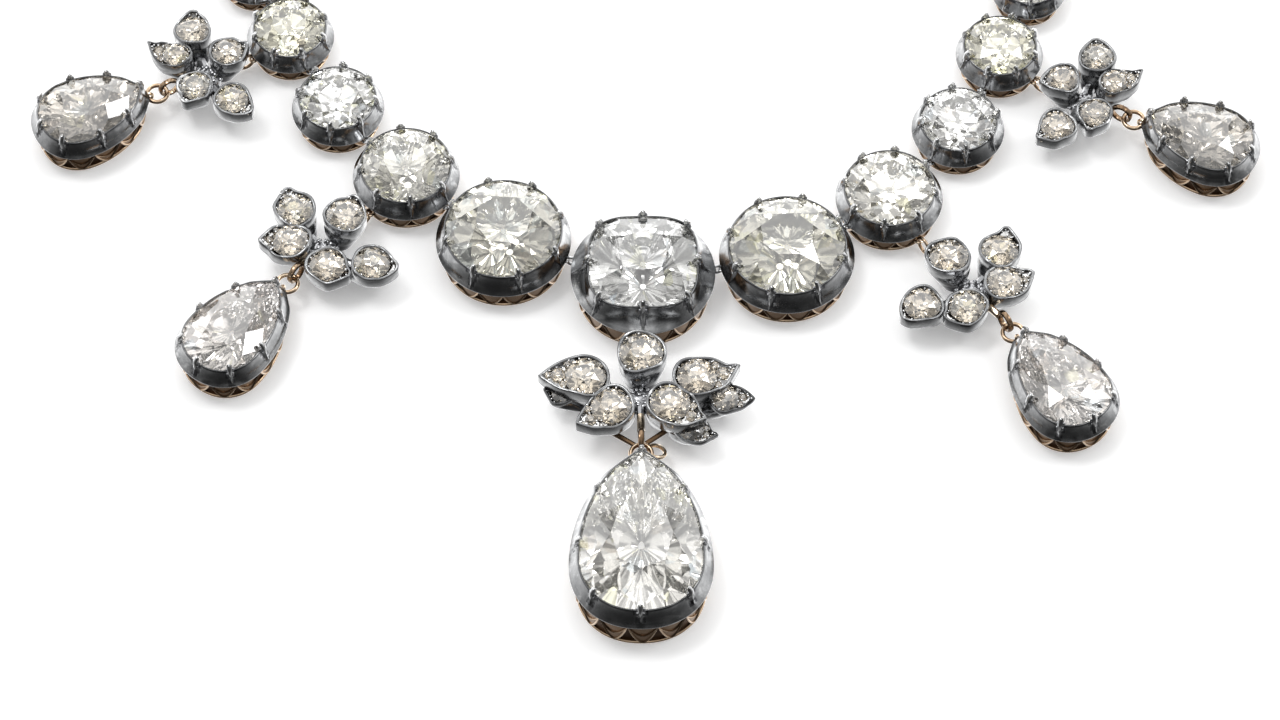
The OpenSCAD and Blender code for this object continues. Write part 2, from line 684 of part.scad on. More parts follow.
module leaf_cluster(drop) {
    hub = drop[HUB];
    bail = bail_at(drop) - hub;
    bail_z = DROP_RING_Z + BAIL_UP;
    linked = leaf_place(drop, drop[LEAVES][drop[LINKED]]);
    translate([hub[0], hub[1], 0]) {
        difference() {
            union() {
                for (leaf = drop[LEAVES]) {
                    leaf_cup(drop, leaf);
                    arm([0, 0], leaf_place(drop, leaf) * ARM_SHARE, ARM_Z, LEAF_FLOOR + 0.5, arm_r);
                    if (leaf[PEG] == 1)
                        let (foot = leaf_place(drop, leaf) * PEG_SHARE)
                        translate([foot[0], foot[1], 0])
                            cylinder(h = LEAF_FLOOR + 0.4, r = PEG_R, $fn = ARM_SIDES);
                }
                translate([0, 0, BOSS_Z])
                    cylinder(h = BOSS_H, r = hub_r, $fn = 12);
                arm([0, 0], bail * (1 - BAIL_R / norm(bail)), DROP_RING_Z, bail_z, arm_r * 0.8);
            }
            for (leaf = drop[LEAVES])
                leaf_hollow(drop, leaf);
        }
        translate([bail[0], bail[1], bail_z])
            rotate([90, 0, drop[AIM]])
                torus(BAIL_R, ring_wire);
        translate([(leaf_eye(drop) - hub)[0], (leaf_eye(drop) - hub)[1], CARRIER_RING_Z])
            torus(GOLD_EYE_R, GOLD_EYE_WIRE);
        arm((leaf_eye(drop) - hub) + polar(GOLD_EYE_R, way(leaf_eye(drop) - hub, linked)),
            linked, CARRIER_RING_Z, LEAF_FLOOR + 0.5, GOLD_EYE_WIRE * 1.6);
    }
}

module leaf_stones(drop) {
    translate([drop[HUB][0], drop[HUB][1], 0])
        for (leaf = drop[LEAVES])
            let (place = leaf_place(drop, leaf))
            translate([place[0], place[1], leaf[RIM] - LEAF_GIRDLE_DOWN])
                rotate(leaf_tip(drop, leaf) - 90)
                    small_stone(
                        [for (i = [0:2:LEAF_SIDES - 1]) leaf_outline(leaf, leaf_opening - LEAF_STONE_GAP)[i]],
                        [0, 0], LEAF_CROWN, LEAF_PAVILION);
}

module carrier_ring(drop) {
    standing_ring(carrier_eye(drop), leaf_eye(drop), CARRIER_RING_Z, CARRIER_RING_R, ring_wire * 0.8);
}

module carrier_eye_of(drop) {
    translate([carrier_eye(drop)[0], carrier_eye(drop)[1], CARRIER_RING_Z])
        torus(GOLD_EYE_R, GOLD_EYE_WIRE);
}

module front_collet(side, k) {
    drops = [for (drop = DROPS) if (drop[SIDE] == side && drop[CARRIER] == k) drop];
    silver() {
        round_collet(front_at(side, k), front(side)[k - 1][STONE], front(side)[k - 1][TURN], true);
        row_eyes(side, k);
        for (drop = drops)
            carrier_eye_of(drop);
    }
}

module links(side) {
    for (k = [0:LAST])
        let (ends = link_ends(side, k))
        standing_ring(ends[0], ends[1], link_z(side, k), link_r(side, k), link_wire);
}

// The clasp: a plain oblong case with an eye at each end
module clasp() {
    CORNER = 1.2;
    height = lip_z(last_back_stone) + 0.6;
    translate([0, loop_depth, 0])
        linear_extrude(height = height)
            offset(r = CORNER, $fn = CURVE)
                square([clasp_l - 2 * GALLERY_IN - 2 * CORNER, clasp_w - 2 * CORNER], center = true);
    for (side = [LEFT, RIGHT])
        row_eyes(side, LAST + 1);
}

module on_origin() {
    translate([-middle[0], -middle[1], 0])
        children();
}

module centre_collet_with_eyes() {
    silver() {
        translate(CENTRE_AT) centre_collet();
        row_eyes(LEFT, 0);
        row_eyes(RIGHT, 0);
        carrier_eye_of(CENTRE_DROP);
    }
}

module front_stone(side, k) {
    stone = front(side)[k - 1][STONE];
    diamond(k == 3 ? WHITE : PALE_YELLOW)
        round_stone(front_at(side, k), stone, front(side)[k - 1][TURN]);
}

module back_collets(side) {
    silver()
        for (k = [0:back_count - 1]) {
            round_collet(on_curve(side, back_run(side, k)), back_stone(k), 0, false);
            row_eyes(side, FRONT_COUNT + 1 + k);
        }
}

module back_stones(side) {
    diamond(WHITE)
        for (k = [0:back_count - 1])
            let (at = on_curve(side, back_run(side, k)), stone = back_stone(k))
            translate([at[0], at[1], girdle_z(stone)])
                small_stone(superellipse(stone / 2, 2.1, 8), [0, 0], 0.15 * stone, pavilion_h(stone));
}

on_origin() {
    centre_collet_with_eyes();  // collet_centre
    diamond(WHITE) cushion_stone();  // diamond_centre
    for (k = [1:FRONT_COUNT]) {
        front_collet(LEFT, k);
        front_stone(LEFT, k);
        front_collet(RIGHT, k);
        front_stone(RIGHT, k);
    }
    for (i = [0:len(DROPS) - 1])
        let (drop = DROPS[i], name = DROP_NAMES[i]) {
            silver() leaf_cluster(drop);
            diamond(CHAMPAGNE) leaf_stones(drop);
            gold() carrier_ring(drop);
            gold() drop_ring(drop);
            silver() pear_setting(drop);
            diamond(WHITE) pear_stone(drop);
        }
    silver() links(LEFT);  // links_left
    silver() links(RIGHT);  // links_right
    back_collets(LEFT);  // collets_back_left
    back_collets(RIGHT);  // collets_back_right
    back_stones(LEFT);  // diamonds_back_left
    back_stones(RIGHT);  // diamonds_back_right
    silver() clasp();
}
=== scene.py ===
import math
import random

import bmesh
import bpy
import numpy as np
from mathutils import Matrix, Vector

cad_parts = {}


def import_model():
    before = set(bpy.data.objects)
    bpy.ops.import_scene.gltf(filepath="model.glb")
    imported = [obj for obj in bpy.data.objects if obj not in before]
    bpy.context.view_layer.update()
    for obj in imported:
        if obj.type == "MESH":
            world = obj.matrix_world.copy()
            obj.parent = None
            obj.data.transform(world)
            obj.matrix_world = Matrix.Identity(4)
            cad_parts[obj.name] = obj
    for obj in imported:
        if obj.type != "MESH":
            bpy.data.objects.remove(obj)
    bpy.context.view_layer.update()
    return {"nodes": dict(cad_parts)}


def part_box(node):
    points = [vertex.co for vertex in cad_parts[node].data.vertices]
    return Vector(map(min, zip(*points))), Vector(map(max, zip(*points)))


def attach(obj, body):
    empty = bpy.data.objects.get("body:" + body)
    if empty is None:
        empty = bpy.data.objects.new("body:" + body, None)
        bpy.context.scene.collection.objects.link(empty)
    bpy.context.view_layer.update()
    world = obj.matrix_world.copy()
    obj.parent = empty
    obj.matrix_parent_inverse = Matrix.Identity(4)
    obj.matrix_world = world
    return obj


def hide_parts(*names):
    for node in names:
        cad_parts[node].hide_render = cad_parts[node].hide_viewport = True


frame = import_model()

NODES = frame["nodes"]
SCENE = bpy.context.scene
DICE = random.Random(7)

# Lengths are in millimetres from the centre of the row, where -Y is towards the viewer
MIDDLE = np.array([0.2, 43.5143, 0.0])
MM = 0.001
CREASE = math.radians(38)
SIDES = ("left", "right")
SILVER, GOLD, DEEP_SHADE_GOLD, DARK, BRIGHT, SHADED_GOLD, OLD_GOLD = range(7)

# Camera
ELEVATION = math.radians(57)
DISTANCE = 0.6
LENS = 147.8
AIM_AT = Vector((-0.00054, -0.0533743, 0.0))


def camera():
    data = bpy.data.cameras.new("camera")
    data.lens = LENS
    data.sensor_width = 36
    data.clip_start = 0.01
    data.clip_end = 50
    obj = bpy.data.objects.new("camera", data)
    SCENE.collection.objects.link(obj)
    obj.location = AIM_AT + DISTANCE * Vector((0, -math.cos(ELEVATION), math.sin(ELEVATION)))
    obj.rotation_euler = (math.pi / 2 - ELEVATION, 0, 0)
    SCENE.camera = obj


camera()


# Geometry helpers
def polar(r, angle):
    return np.array([r * math.cos(math.radians(angle)), r * math.sin(math.radians(angle))])


def way(a, b):
    return math.degrees(math.atan2(b[1] - a[1], b[0] - a[0]))


def turned(points, angle):
    c, s = math.cos(math.radians(angle)), math.sin(math.radians(angle))
    points = np.asarray(points, float)
    return np.stack([points[..., 0] * c - points[..., 1] * s, points[..., 0] * s + points[..., 1] * c], -1)


def unit(v):
    return v / np.maximum(np.linalg.norm(v, axis=-1, keepdims=True), 1e-12)


def smooth_step(a, b, x):
    t = np.clip((x - a) / (b - a), 0, 1)
    return t * t * (3 - 2 * t)


def flat(points, z):
    points = np.asarray(points, float)
    return np.concatenate([points, np.broadcast_to(z, points.shape[:-1])[..., None]], -1)


def resampled(points, count):
    """A closed line through the same shape, with its points evenly spaced."""
    closed = np.vstack([points, points[:1]])
    run = np.concatenate([[0], np.cumsum(np.linalg.norm(np.diff(closed, axis=0), axis=1))])
    at = np.linspace(0, run[-1], count, endpoint=False)
    return np.stack([np.interp(at, run, closed[:, i]) for i in range(closed.shape[1])], -1)


def outward(outline):
    """Unit normals of a closed anticlockwise outline."""
    along = unit(np.roll(outline, -1, 0) - np.roll(outline, 1, 0))
    return np.stack([along[:, 1], -along[:, 0]], -1)


class Shell:
    """The faces of one piece."""

    def __init__(self):
        self.points, self.faces, self.slots, self.soft, self.count = [], [], [], [], 0

    def add(self, points, faces, slot, soft=True):
        points = np.asarray(points, float)
        start = self.count
        self.points.append(points)
        self.faces.extend([tuple(start + i for i in face) for face in faces])
        self.slots.extend([slot] * len(faces) if isinstance(slot, int) else slot)
        self.soft.extend([soft] * len(faces))
        self.count += len(points)

    def grid(self, rows, slot, loop=False, ends=False):
        """rows x around x 3 points, closed round, and with loop closed from last row to first.
        slot is one slot, or one for each face."""
        rows = np.asarray(rows, float)
        r, n = rows.shape[:2]
        faces = []
        for j in range(r if loop else r - 1):
            a, b = j * n, (j + 1) % r * n
            faces.extend([(a + i, a + (i + 1) % n, b + (i + 1) % n, b + i) for i in range(n)])
        if ends:
            faces.append(tuple(range(n - 1, -1, -1)))
            faces.append(tuple(range((r - 1) * n, r * n)))
            if not isinstance(slot, int):
                slot = list(slot) + [slot[0], slot[-1]]
        self.add(rows.reshape(-1, 3), faces, slot)

    def tube(self, line, radius, ref, sides, slot, closed=False):
        """A wire along a line. ref is a direction that the line never runs in."""
        line = np.asarray(line, float)
        if closed:
            along = unit(np.roll(line, -1, 0) - np.roll(line, 1, 0))
        else:
            along = unit(np.gradient(line, axis=0))
        ref = np.broadcast_to(np.asarray(ref, float), line.shape)
        one = unit(ref - (ref * along).sum(-1, keepdims=True) * along)
        two = np.cross(along, one)
        turn = np.linspace(0, 2 * math.pi, sides, endpoint=False)
        radius = np.broadcast_to(np.asarray(radius, float), len(line))[:, None, None]
        rows = line[:, None] + radius * (
            np.cos(turn)[None, :, None] * one[:, None] + np.sin(turn)[None, :, None] * two[:, None]
        )
        self.grid(rows, slot, loop=closed, ends=not closed)

    def ring(self, centre, axis, radius, wire, around, slot):
        axis = unit(np.asarray(axis, float))
        side = unit(np.cross(axis, [0.3, 0.2, 1] if abs(axis[2]) < 0.9 else [1, 0.1, 0]))
        other = np.cross(axis, side)
        turn = np.linspace(0, 2 * math.pi, around, endpoint=False)[:, None]
        line = np.asarray(centre, float) + radius * (np.cos(turn) * side + np.sin(turn) * other)
        self.tube(line, wire, axis, 8, slot, closed=True)

    def eye(self, at, z, radius, wire, slot):
        """A small ring that lies flat."""
        self.ring([*at, z], (0, 0, 1), radius, wire, 20, slot)

    def ball(self, centre, size, slot, around, rings):
        """A round grain. size is one radius or three."""
        up = np.linspace(0, math.pi, rings + 1)[1:-1]
        turn = np.linspace(0, 2 * math.pi, around, endpoint=False)
        rows = np.stack(
            [
                np.sin(up)[:, None] * np.cos(turn),
                np.sin(up)[:, None] * np.sin(turn),
                np.repeat(np.cos(up)[:, None], around, 1),
            ],
            -1,
        )
        points = np.vstack([rows.reshape(-1, 3), [[0, 0, 1], [0, 0, -1]]])
        points = points * np.asarray(size, float) + np.asarray(centre, float)
        top, low, last = len(points) - 2, len(points) - 1, (rings - 2) * around
        faces = [
            (j * around + i, (j + 1) * around + i, (j + 1) * around + (i + 1) % around, j * around + (i + 1) % around)
            for j in range(rings - 2)
            for i in range(around)
        ]
        faces += [(i, (i + 1) % around, top) for i in range(around)]
        faces += [(last + (i + 1) % around, last + i, low) for i in range(around)]
        self.add(points, faces, slot)

    def object(self, name, materials, slot, *nodes):
        """The piece itself, which rides on the body and replaces the CAD's nodes."""
        mesh = bpy.data.meshes.new(name)
        points = (np.vstack(self.points) - MIDDLE) * MM
        mesh.from_pydata(points.tolist(), [], self.faces)
        mesh.polygons.foreach_set("material_index", self.slots)
        mesh.polygons.foreach_set("use_smooth", self.soft)
        for material in materials:
            mesh.materials.append(material)
        mesh.update()
        if any(self.soft):
            mesh.set_sharp_from_angle(angle=CREASE)
        obj = bpy.data.objects.new(name, mesh)
        SCENE.collection.objects.link(obj)
        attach(obj, "root")
        if nodes:
            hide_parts(*nodes)
        return obj


# Cut stones
def plane(a, b, c):
    """A point and the normal that points away from the stone's middle."""
    normal = unit(np.cross(b - a, c - a))
    return (a, normal if normal @ a > 0 else -normal)


def crossing(p, q, z):
    """The point at height z on the line where two planes meet."""
    (a, m), (b, n) = p, q
    left = np.array([[m[0], m[1]], [n[0], n[1]]])
    right = np.array([m @ a - m[2] * z, n @ b - n[2] * z])
    return np.array([*np.linalg.solve(left, right), z])


GIRDLE = 0.06


def cut_stone(outline, mains, halves, crown, pavilion, table, star, low, culet, middle=(0, 0), uneven=0.0):
    """Points and faces of an old brilliant round the origin, its girdle at z = 0.
    mains and halves are the outline's points that the main facets and the pairs of halves meet.
    uneven is how far its facets stray from an even cut, as a share."""
    dice = random.Random(int(1000 * (crown + pavilion + table)) + len(outline))
    outline = np.asarray(outline, float)
    middle = np.asarray(middle, float)
    n = len(outline)
    along = np.roll(outline, -1, 0) - np.roll(outline, 1, 0)
    planes = []
    for side, height, share, meet in ((1, crown, table, star), (-1, pavilion, culet, low)):
        edge = side * GIRDLE
        tops, bezels = [], []
        for i in mains:
            stray = 1 + dice.uniform(-1, 1) * uneven
            corner = np.array([*(middle + (outline[i] - middle) * share * stray), side * height])
            girdle = np.array([*outline[i], edge])
            tops.append(corner)
            bezels.append(plane(corner, girdle, girdle + np.array([*along[i], 0])))
        planes += bezels
        for k, i in enumerate(mains):
            j = (k + 1) % 8
            rise = meet * (1 + dice.uniform(-1, 1) * uneven)
            tip = crossing(bezels[k], bezels[j], edge + (side * height - edge) * rise)
            if side > 0:
                planes.append(plane(tops[k], tops[j], tip))
            for g in (mains[k], mains[j]):
                planes.append(plane(tip, np.array([*outline[g], edge]), np.array([*outline[halves[k]], edge])))
    bm = bmesh.new()
    low_ring = [bm.verts.new((x, y, -pavilion)) for x, y in outline]
    high_ring = [bm.verts.new((x, y, crown)) for x, y in outline]
    bm.faces.new(low_ring[::-1])
    bm.faces.new(high_ring)
    for i in range(n):
        j = (i + 1) % n
        bm.faces.new((low_ring[i], low_ring[j], high_ring[j], high_ring[i]))
    for at, normal in planes:
        cut = bmesh.ops.bisect_plane(
            bm,
            geom=bm.verts[:] + bm.edges[:] + bm.faces[:],
            dist=1e-5,
            plane_co=at,
            plane_no=normal,
            clear_outer=True,
        )
        edges = [e for e in cut["geom_cut"] if isinstance(e, bmesh.types.BMEdge) and e.is_boundary]
        if edges:
            bmesh.ops.holes_fill(bm, edges=edges, sides=0)
    bmesh.ops.remove_doubles(bm, verts=bm.verts[:], dist=2e-3)
    bmesh.ops.dissolve_degenerate(bm, edges=bm.edges[:], dist=1e-3)
    bmesh.ops.recalc_face_normals(bm, faces=bm.faces[:])
    points = np.array([v.co for v in bm.verts])
    bm.verts.index_update()
    faces = [tuple(v.index for v in f.verts) for f in bm.faces]
    bm.free()
    return points, faces


def polar_points(angles, r):
    t = np.radians(np.asarray(angles, float))
    return np.stack([r * np.cos(t), r * np.sin(t)], -1)


def circle(count, r):
    return polar_points(np.linspace(0, 360, count, endpoint=False), r)


def eighths(count):
    """The outline's points for eight mains and for the halves between them."""
    step = count // 8
    mains = [k * step for k in range(8)]
    return mains, [m + step // 2 for m in mains]


# Round stones 10 mm wide: crown, pavilion, table, star, low halves and culet
UNIT_SIDES = 48
UNIT_STONES = [
    cut_stone(circle(UNIT_SIDES, 5), *eighths(UNIT_SIDES), crown, pavilion, table, star, low, culet, uneven=0.06)
    for crown, pavilion, table, star, low, culet in (
        (1.6, 4.1, 0.52, 0.55, 0.6, 0.10),
        (1.75, 4.2, 0.47, 0.5, 0.55, 0.12),
        (1.5, 4.0, 0.56, 0.55, 0.65, 0.09),
        (1.65, 3.66, 0.50, 0.5, 0.6, 0.13),
        (1.75, 3.66, 0.46, 0.55, 0.55, 0.15),
    )
]
SMALL_STONE = cut_stone(circle(24, 5), *eighths(24), 1.7, 2.1, 0.5, 0.5, 0.6, 0.1)


def placed(stone, at, width, turn=0, tilt=(0, 0)):
    """A unit stone's points with its girdle's middle at a point, to a width, turned and leant."""
    points = stone[0] * (width / 10)
    xy = turned(points[:, :2], turn)
    z = points[:, 2] + xy[:, 0] * tilt[0] + xy[:, 1] * tilt[1]
    return np.concatenate([xy, z[:, None]], 1) + np.asarray(at, float)


# Materials
def rgba(colour):
    """A colour for a socket, from one grey value or three."""
    return (*(colour if isinstance(colour, tuple) else (colour,) * 3), 1)


class Nodes:
    """Adds nodes to the tree of a material or of the world."""

    def __init__(self, tree):
        self.tree = tree

    def new(self, kind, **inputs):
        node = self.tree.nodes.new(kind)
        for key, value in inputs.items():
            if hasattr(node, key):
                setattr(node, key, value)
            else:
                node.inputs[key.replace("_", " ")].default_value = value
        return node

    def link(self, a, b):
        self.tree.links.new(a, b)

    def noise(self, scale, detail=4.0, roughness=0.55, stretch=(1, 1, 1), turn=(0, 0, 0)):
        where = self.new("ShaderNodeTexCoord")
        mapping = self.new("ShaderNodeMapping")
        mapping.inputs["Scale"].default_value = stretch
        mapping.inputs["Rotation"].default_value = turn
        node = self.new("ShaderNodeTexNoise", Scale=scale, Detail=detail, Roughness=roughness)
        self.link(where.outputs["Object"], mapping.inputs["Vector"])
        self.link(mapping.outputs["Vector"], node.inputs["Vector"])
        return node.outputs["Fac"]

    def ramp(self, value, *stops, interpolation="LINEAR"):
        """A ramp through stops, (position, colour) pairs."""
        node = self.new("ShaderNodeValToRGB")
        node.color_ramp.interpolation = interpolation
        while len(node.color_ramp.elements) < len(stops):
            node.color_ramp.elements.new(0.5)
        for element, (at, colour) in zip(node.color_ramp.elements, stops):
            element.position = at
            element.color = rgba(colour)
        self.link(value, node.inputs["Fac"])
        return node.outputs["Color"]

    def mix(self, factor, a, b, blend="MIX"):
        node = self.new("ShaderNodeMix", data_type="RGBA", blend_type=blend)
        for key, value in (("Factor", factor), ("A", a), ("B", b)):
            socket = [s for s in node.inputs if s.name == key and s.enabled][0]
            if isinstance(value, bpy.types.NodeSocket):
                self.link(value, socket)
            else:
                socket.default_value = value if key == "Factor" else rgba(value)
        return [s for s in node.outputs if s.enabled][0]

    def bump(self, value, strength, distance, under=None):
        node = self.new("ShaderNodeBump", Strength=strength, Distance=distance)
        self.link(value, node.inputs["Height"])
        if under is not None:
            self.link(under, node.inputs["Normal"])
        return node.outputs["Normal"]


def new_material(name):
    """A material, the helper for its nodes and its shader's sockets."""
    material = bpy.data.materials.new(name)
    material.use_nodes = True
    return material, Nodes(material.node_tree), material.node_tree.nodes["Principled BSDF"].inputs


def metal(name, dark, middle, bright, roughness, worn, relief=1.0):
    """Aged metal: tarnish in patches, fine scratches, small pits, brighter edges, and hollows darkened by tarnish and
    painted shade.
    """
    material, n, sockets = new_material(name)
    patches = n.noise(260, 5, 0.6)
    fine = n.noise(1900, 3, 0.6)
    scratches = n.noise(900, 2, 0.5, stretch=(0.12, 1, 1), turn=(0.2, 0.3, 0.7))
    cross = n.noise(1100, 2, 0.5, stretch=(1, 0.1, 1), turn=(0.5, -0.2, 0.3))
    tone = n.ramp(patches, (0.3, dark), (0.52, middle), (0.75, bright))
    tone = n.mix(n.ramp(fine, (0.35, 0.0), (0.75, 0.45)), tone, dark)
    tone = n.mix(n.ramp(scratches, (0.6, 0.0), (0.72, 0.55)), tone, bright)
    edges = n.new("ShaderNodeNewGeometry").outputs["Pointiness"]
    tone = n.mix(n.ramp(edges, (0.5, 0.0), (0.56, worn)), tone, bright)
    # Tarnish and painted shade: where pointiness is low, in hollows, the tone turns much darker
    tone = n.mix(n.ramp(edges, (0.4, 0.85), (0.49, 0.0)), tone, tuple(c * 0.35 for c in dark))
    n.link(tone, sockets["Base Color"])
    sockets["Metallic"].default_value = 1
    low, high = roughness
    n.link(n.ramp(patches, (0.3, high), (0.7, low)), sockets["Roughness"])
    normal = n.bump(scratches, 0.25 * relief, 0.00002)
    normal = n.bump(cross, 0.2 * relief, 0.00002, normal)
    normal = n.bump(fine, 0.3 * relief, 0.00003, normal)
    n.link(normal, sockets["Normal"])
    return material


silver = metal("aged_silver", (0.2, 0.204, 0.21), (0.4, 0.405, 0.41), (0.74, 0.745, 0.75), (0.13, 0.28), 0.85)
gold = metal("rose_gold", (0.17, 0.095, 0.05), (0.6, 0.43, 0.285), (0.93, 0.78, 0.6), (0.1, 0.28), 0.75)
old_gold = metal("old_gold", (0.07, 0.04, 0.018), (0.25, 0.165, 0.095), (0.62, 0.46, 0.32), (0.16, 0.34), 0.7)
deep_shade_gold = metal("gold_in_shade", (0.025, 0.013, 0.006), (0.07, 0.037, 0.018), (0.18, 0.1, 0.055), (0.4, 0.6), 0.3)
# Dark silver: blackening, and painted shade where it lies under lips, cups, stones and leaves, on the hub and in the
# grooves beside the ribs
blackened_and_shaded = metal("blackened_and_shaded_silver", (0.045, 0.046, 0.05), (0.12, 0.122, 0.13), (0.5, 0.505, 0.52), (0.14, 0.34), 0.75)
polished = metal("polished_silver", (0.6, 0.6, 0.59), (0.78, 0.78, 0.77), (0.9, 0.9, 0.89), (0.0, 0.02), 0.2, 0.01)
# Gold painted as in shade: the gallery's rail and apron under the lip, and the centre's crossed wires
shaded_gold = metal("gold_painted_in_shade", (0.018, 0.01, 0.004), (0.065, 0.037, 0.018), (0.3, 0.19, 0.11), (0.2, 0.38), 0.6)


def gem(name, tint, cloud):
    """Clear stone with soft clouds and, here and there, a facet's worth of painted fire: cells tinted blue, yellow and
    rose in place of dispersion.
    """
    material, n, sockets = new_material(name)
    tone = n.ramp(n.noise(330, 3, 0.6), (0.35, cloud), (0.6, tint))
    cells = n.new("ShaderNodeTexVoronoi", Scale=620)
    where = n.new("ShaderNodeTexCoord")
    n.link(where.outputs["Object"], cells.inputs["Vector"])
    pick = n.new("ShaderNodeSeparateColor")
    n.link(cells.outputs["Color"], pick.inputs["Color"])
    # Painted fire: a few random cells are tinted, in place of the flashes that dispersion gives
    blue, yellow, rose = (0.7, 0.85, 1.0), (1.0, 1.0, 0.62), (1.0, 0.88, 0.76)
    painted_fire = n.ramp(pick.outputs["Red"], (0.0, blue), (0.45, yellow), (0.9, rose), interpolation="CONSTANT")
    tone = n.mix(n.ramp(pick.outputs["Green"], (0.88, 0.0), (0.91, 0.75)), tone, painted_fire, "MULTIPLY")
    n.link(tone, sockets["Base Color"])
    sockets["Roughness"].default_value = 0.0
    sockets["IOR"].default_value = 2.417
    sockets["Transmission Weight"].default_value = 1.0
    return material


CLEAR = gem("diamond_clear", (1.0, 0.995, 0.985), (0.95, 0.95, 0.955))
BRIGHT_WHITE = gem("diamond_white", (0.985, 0.975, 0.945), (0.935, 0.925, 0.90))
WARM = gem("diamond_warm", (1.0, 0.965, 0.855), (0.98, 0.935, 0.80))
LIGHT = gem("diamond_light", (1.0, 0.97, 0.885), (0.975, 0.94, 0.845))
YELLOW = gem("diamond_yellow", (0.94, 0.905, 0.745), (0.87, 0.835, 0.655))
PEARL = gem("diamond_pearl", (1.0, 0.98, 0.945), (0.965, 0.935, 0.89))
ROSY = gem("diamond_rosy", (0.98, 0.935, 0.90), (0.93, 0.87, 0.83))
TAUPE = gem("diamond_taupe", (0.72, 0.67, 0.605), (0.53, 0.475, 0.405))
CHAMPAGNE = gem("diamond_champagne", (0.69, 0.615, 0.505), (0.45, 0.38, 0.29))

# In the order of the slots' numbers
METALS = [silver, gold, deep_shade_gold, blackened_and_shaded, polished, shaded_gold, old_gold]

# Sizes of the collets: the small eyes for the links, in from the lip
EYE_IN, EYE_R, EYE_WIRE, LINK_DOWN = 0.3, 0.4, 0.15, 0.2
# The gold eyes for the carrier rings, out from the gallery's base
CARRIER_EYE_R, CARRIER_EYE_WIRE, CARRIER_RING_Z = 0.45, 0.17, 1.45
CARRIER_EYES_APART = 2.1
BASE_IN, GALLERY_IN, CARRIER_OUT = 0.75, 0.5, 0.5
# Length of one arc of a gallery's apron
WAVE, PEAR_WAVE = 3.1, 3.6
ARC_STEPS = 12
# Least height of a stone's culet, and how far the lip hangs below the solid's
FLOOR_CLEAR = 0.35
LIP_HANGS = 0.35
# Angles beside a claw where the wall needs points for its rib
RIB_ANGLES = (-4.5, -3, -2, -1.2, -0.5, 0, 0.5, 1.2, 2, 3, 4.5)


def lip_radius(stone):
    return stone / 2 + 0.7 + 0.03 * stone


def girdle_height(stone):
    return 2.9 + 0.18 * stone


def lip_height(stone):
    return girdle_height(stone) - 1.1 - 0.07 * stone


def angle_samples(claws, plain):
    """Angles round a collet, closer together at its ribs."""
    all_of = {round((c + d) % 360, 3) for c in claws for d in RIB_ANGLES}
    for t in np.linspace(0, 360, plain, endpoint=False):
        if min(abs((t - c + 180) % 360 - 180) for c in claws) > RIB_ANGLES[-1] + 1:
            all_of.add(round(float(t), 3))
    return np.array(sorted(all_of))


# Rings of the cup under a stone, as shares of the way from its middle to its edge
CUP_SHARES = (0.05, 0.2, 0.45, 0.7, 0.86, 0.95, 0.99)


def skirt(shell, inner, outer, rib, girdle, lip, middle, pavilion, rows, rib_size=1.0):
    """The silver wall from the stone's edge, inner, down to the lip, outer, and the cup under the stone.
    rib is each point's distance along the wall from the nearest claw."""
    away = unit(outer - inner)
    span = np.linalg.norm(outer - inner, axis=-1)
    top, bottom = girdle + 0.1, lip + 0.22
    rows_of, slots_of = [], []

    def edging(line, level, section):
        """Rows along a line, from the section's out, height over the level and slot."""
        for out, z, slot in section:
            rows_of.append(flat(line + away * out, level + z))
            slots_of.append(np.full(len(span), slot))

    # The last row, in the crease beside the stone, is dark silver as painted shade
    edging(inner, girdle, ((0.02, -0.14, SILVER), (-0.06, 0.14, SILVER), (0.02, 0.2, SILVER), (0.12, 0.16, DARK)))
    for i in range(rows + 1):
        s = i / rows
        f = 0.32 * s + 0.68 * s**3.0
        width = (0.04 + 0.5 * (1 - s) ** 0.8) * rib_size
        ridge = np.clip(1 - rib / width, 0, 1)
        groove = np.clip(1 - np.abs(rib - width * 1.1) / (0.25 * width + 0.04), 0, 1)
        lift = 0.42 * (1 - s) ** 0.8 * rib_size * ridge - (0.015 + 0.05 * (1 - s)) * groove
        out = 0.16 + (span - 0.16) * f + lift * 0.92
        rows_of.append(flat(inner + away * out[:, None], top + (bottom - top) * s + lift * 0.38))
        # The grooves beside the ribs are dark silver, as blackening and painted shade
        dark = (groove > 0.25) & (s < 0.8)
        slots_of.append(np.where((dark | np.roll(dark, -1)) & (rib > width * 0.6), DARK, SILVER))
    edging(outer, lip, ((0, 0.15, SILVER), (0, 0.06, SILVER), (-0.03, 0, SILVER)))
    # Painted shade: the lip's underside is dark silver
    edging(outer, lip, ((-0.3, -0.06, DARK), (-0.55, -0.3, DARK), (-0.95, -0.3, DARK)))
    # Painted shade: the cup's underside is dark silver; its top is polished silver
    for under in (True, False):
        for share in CUP_SHARES[::-1] if under else CUP_SHARES:
            if under and share > 0.9:
                continue
            z = girdle - 0.34 - pavilion * (1 - share) * 0.98 - (0.14 if under else 0)
            rows_of.append(flat(middle + (inner - middle) * share, max(z, 0.12 if under else 0.2)))
            slots_of.append(np.full(len(span), DARK if under else BRIGHT))
    shell.grid(rows_of, np.concatenate(slots_of).tolist(), loop=True)


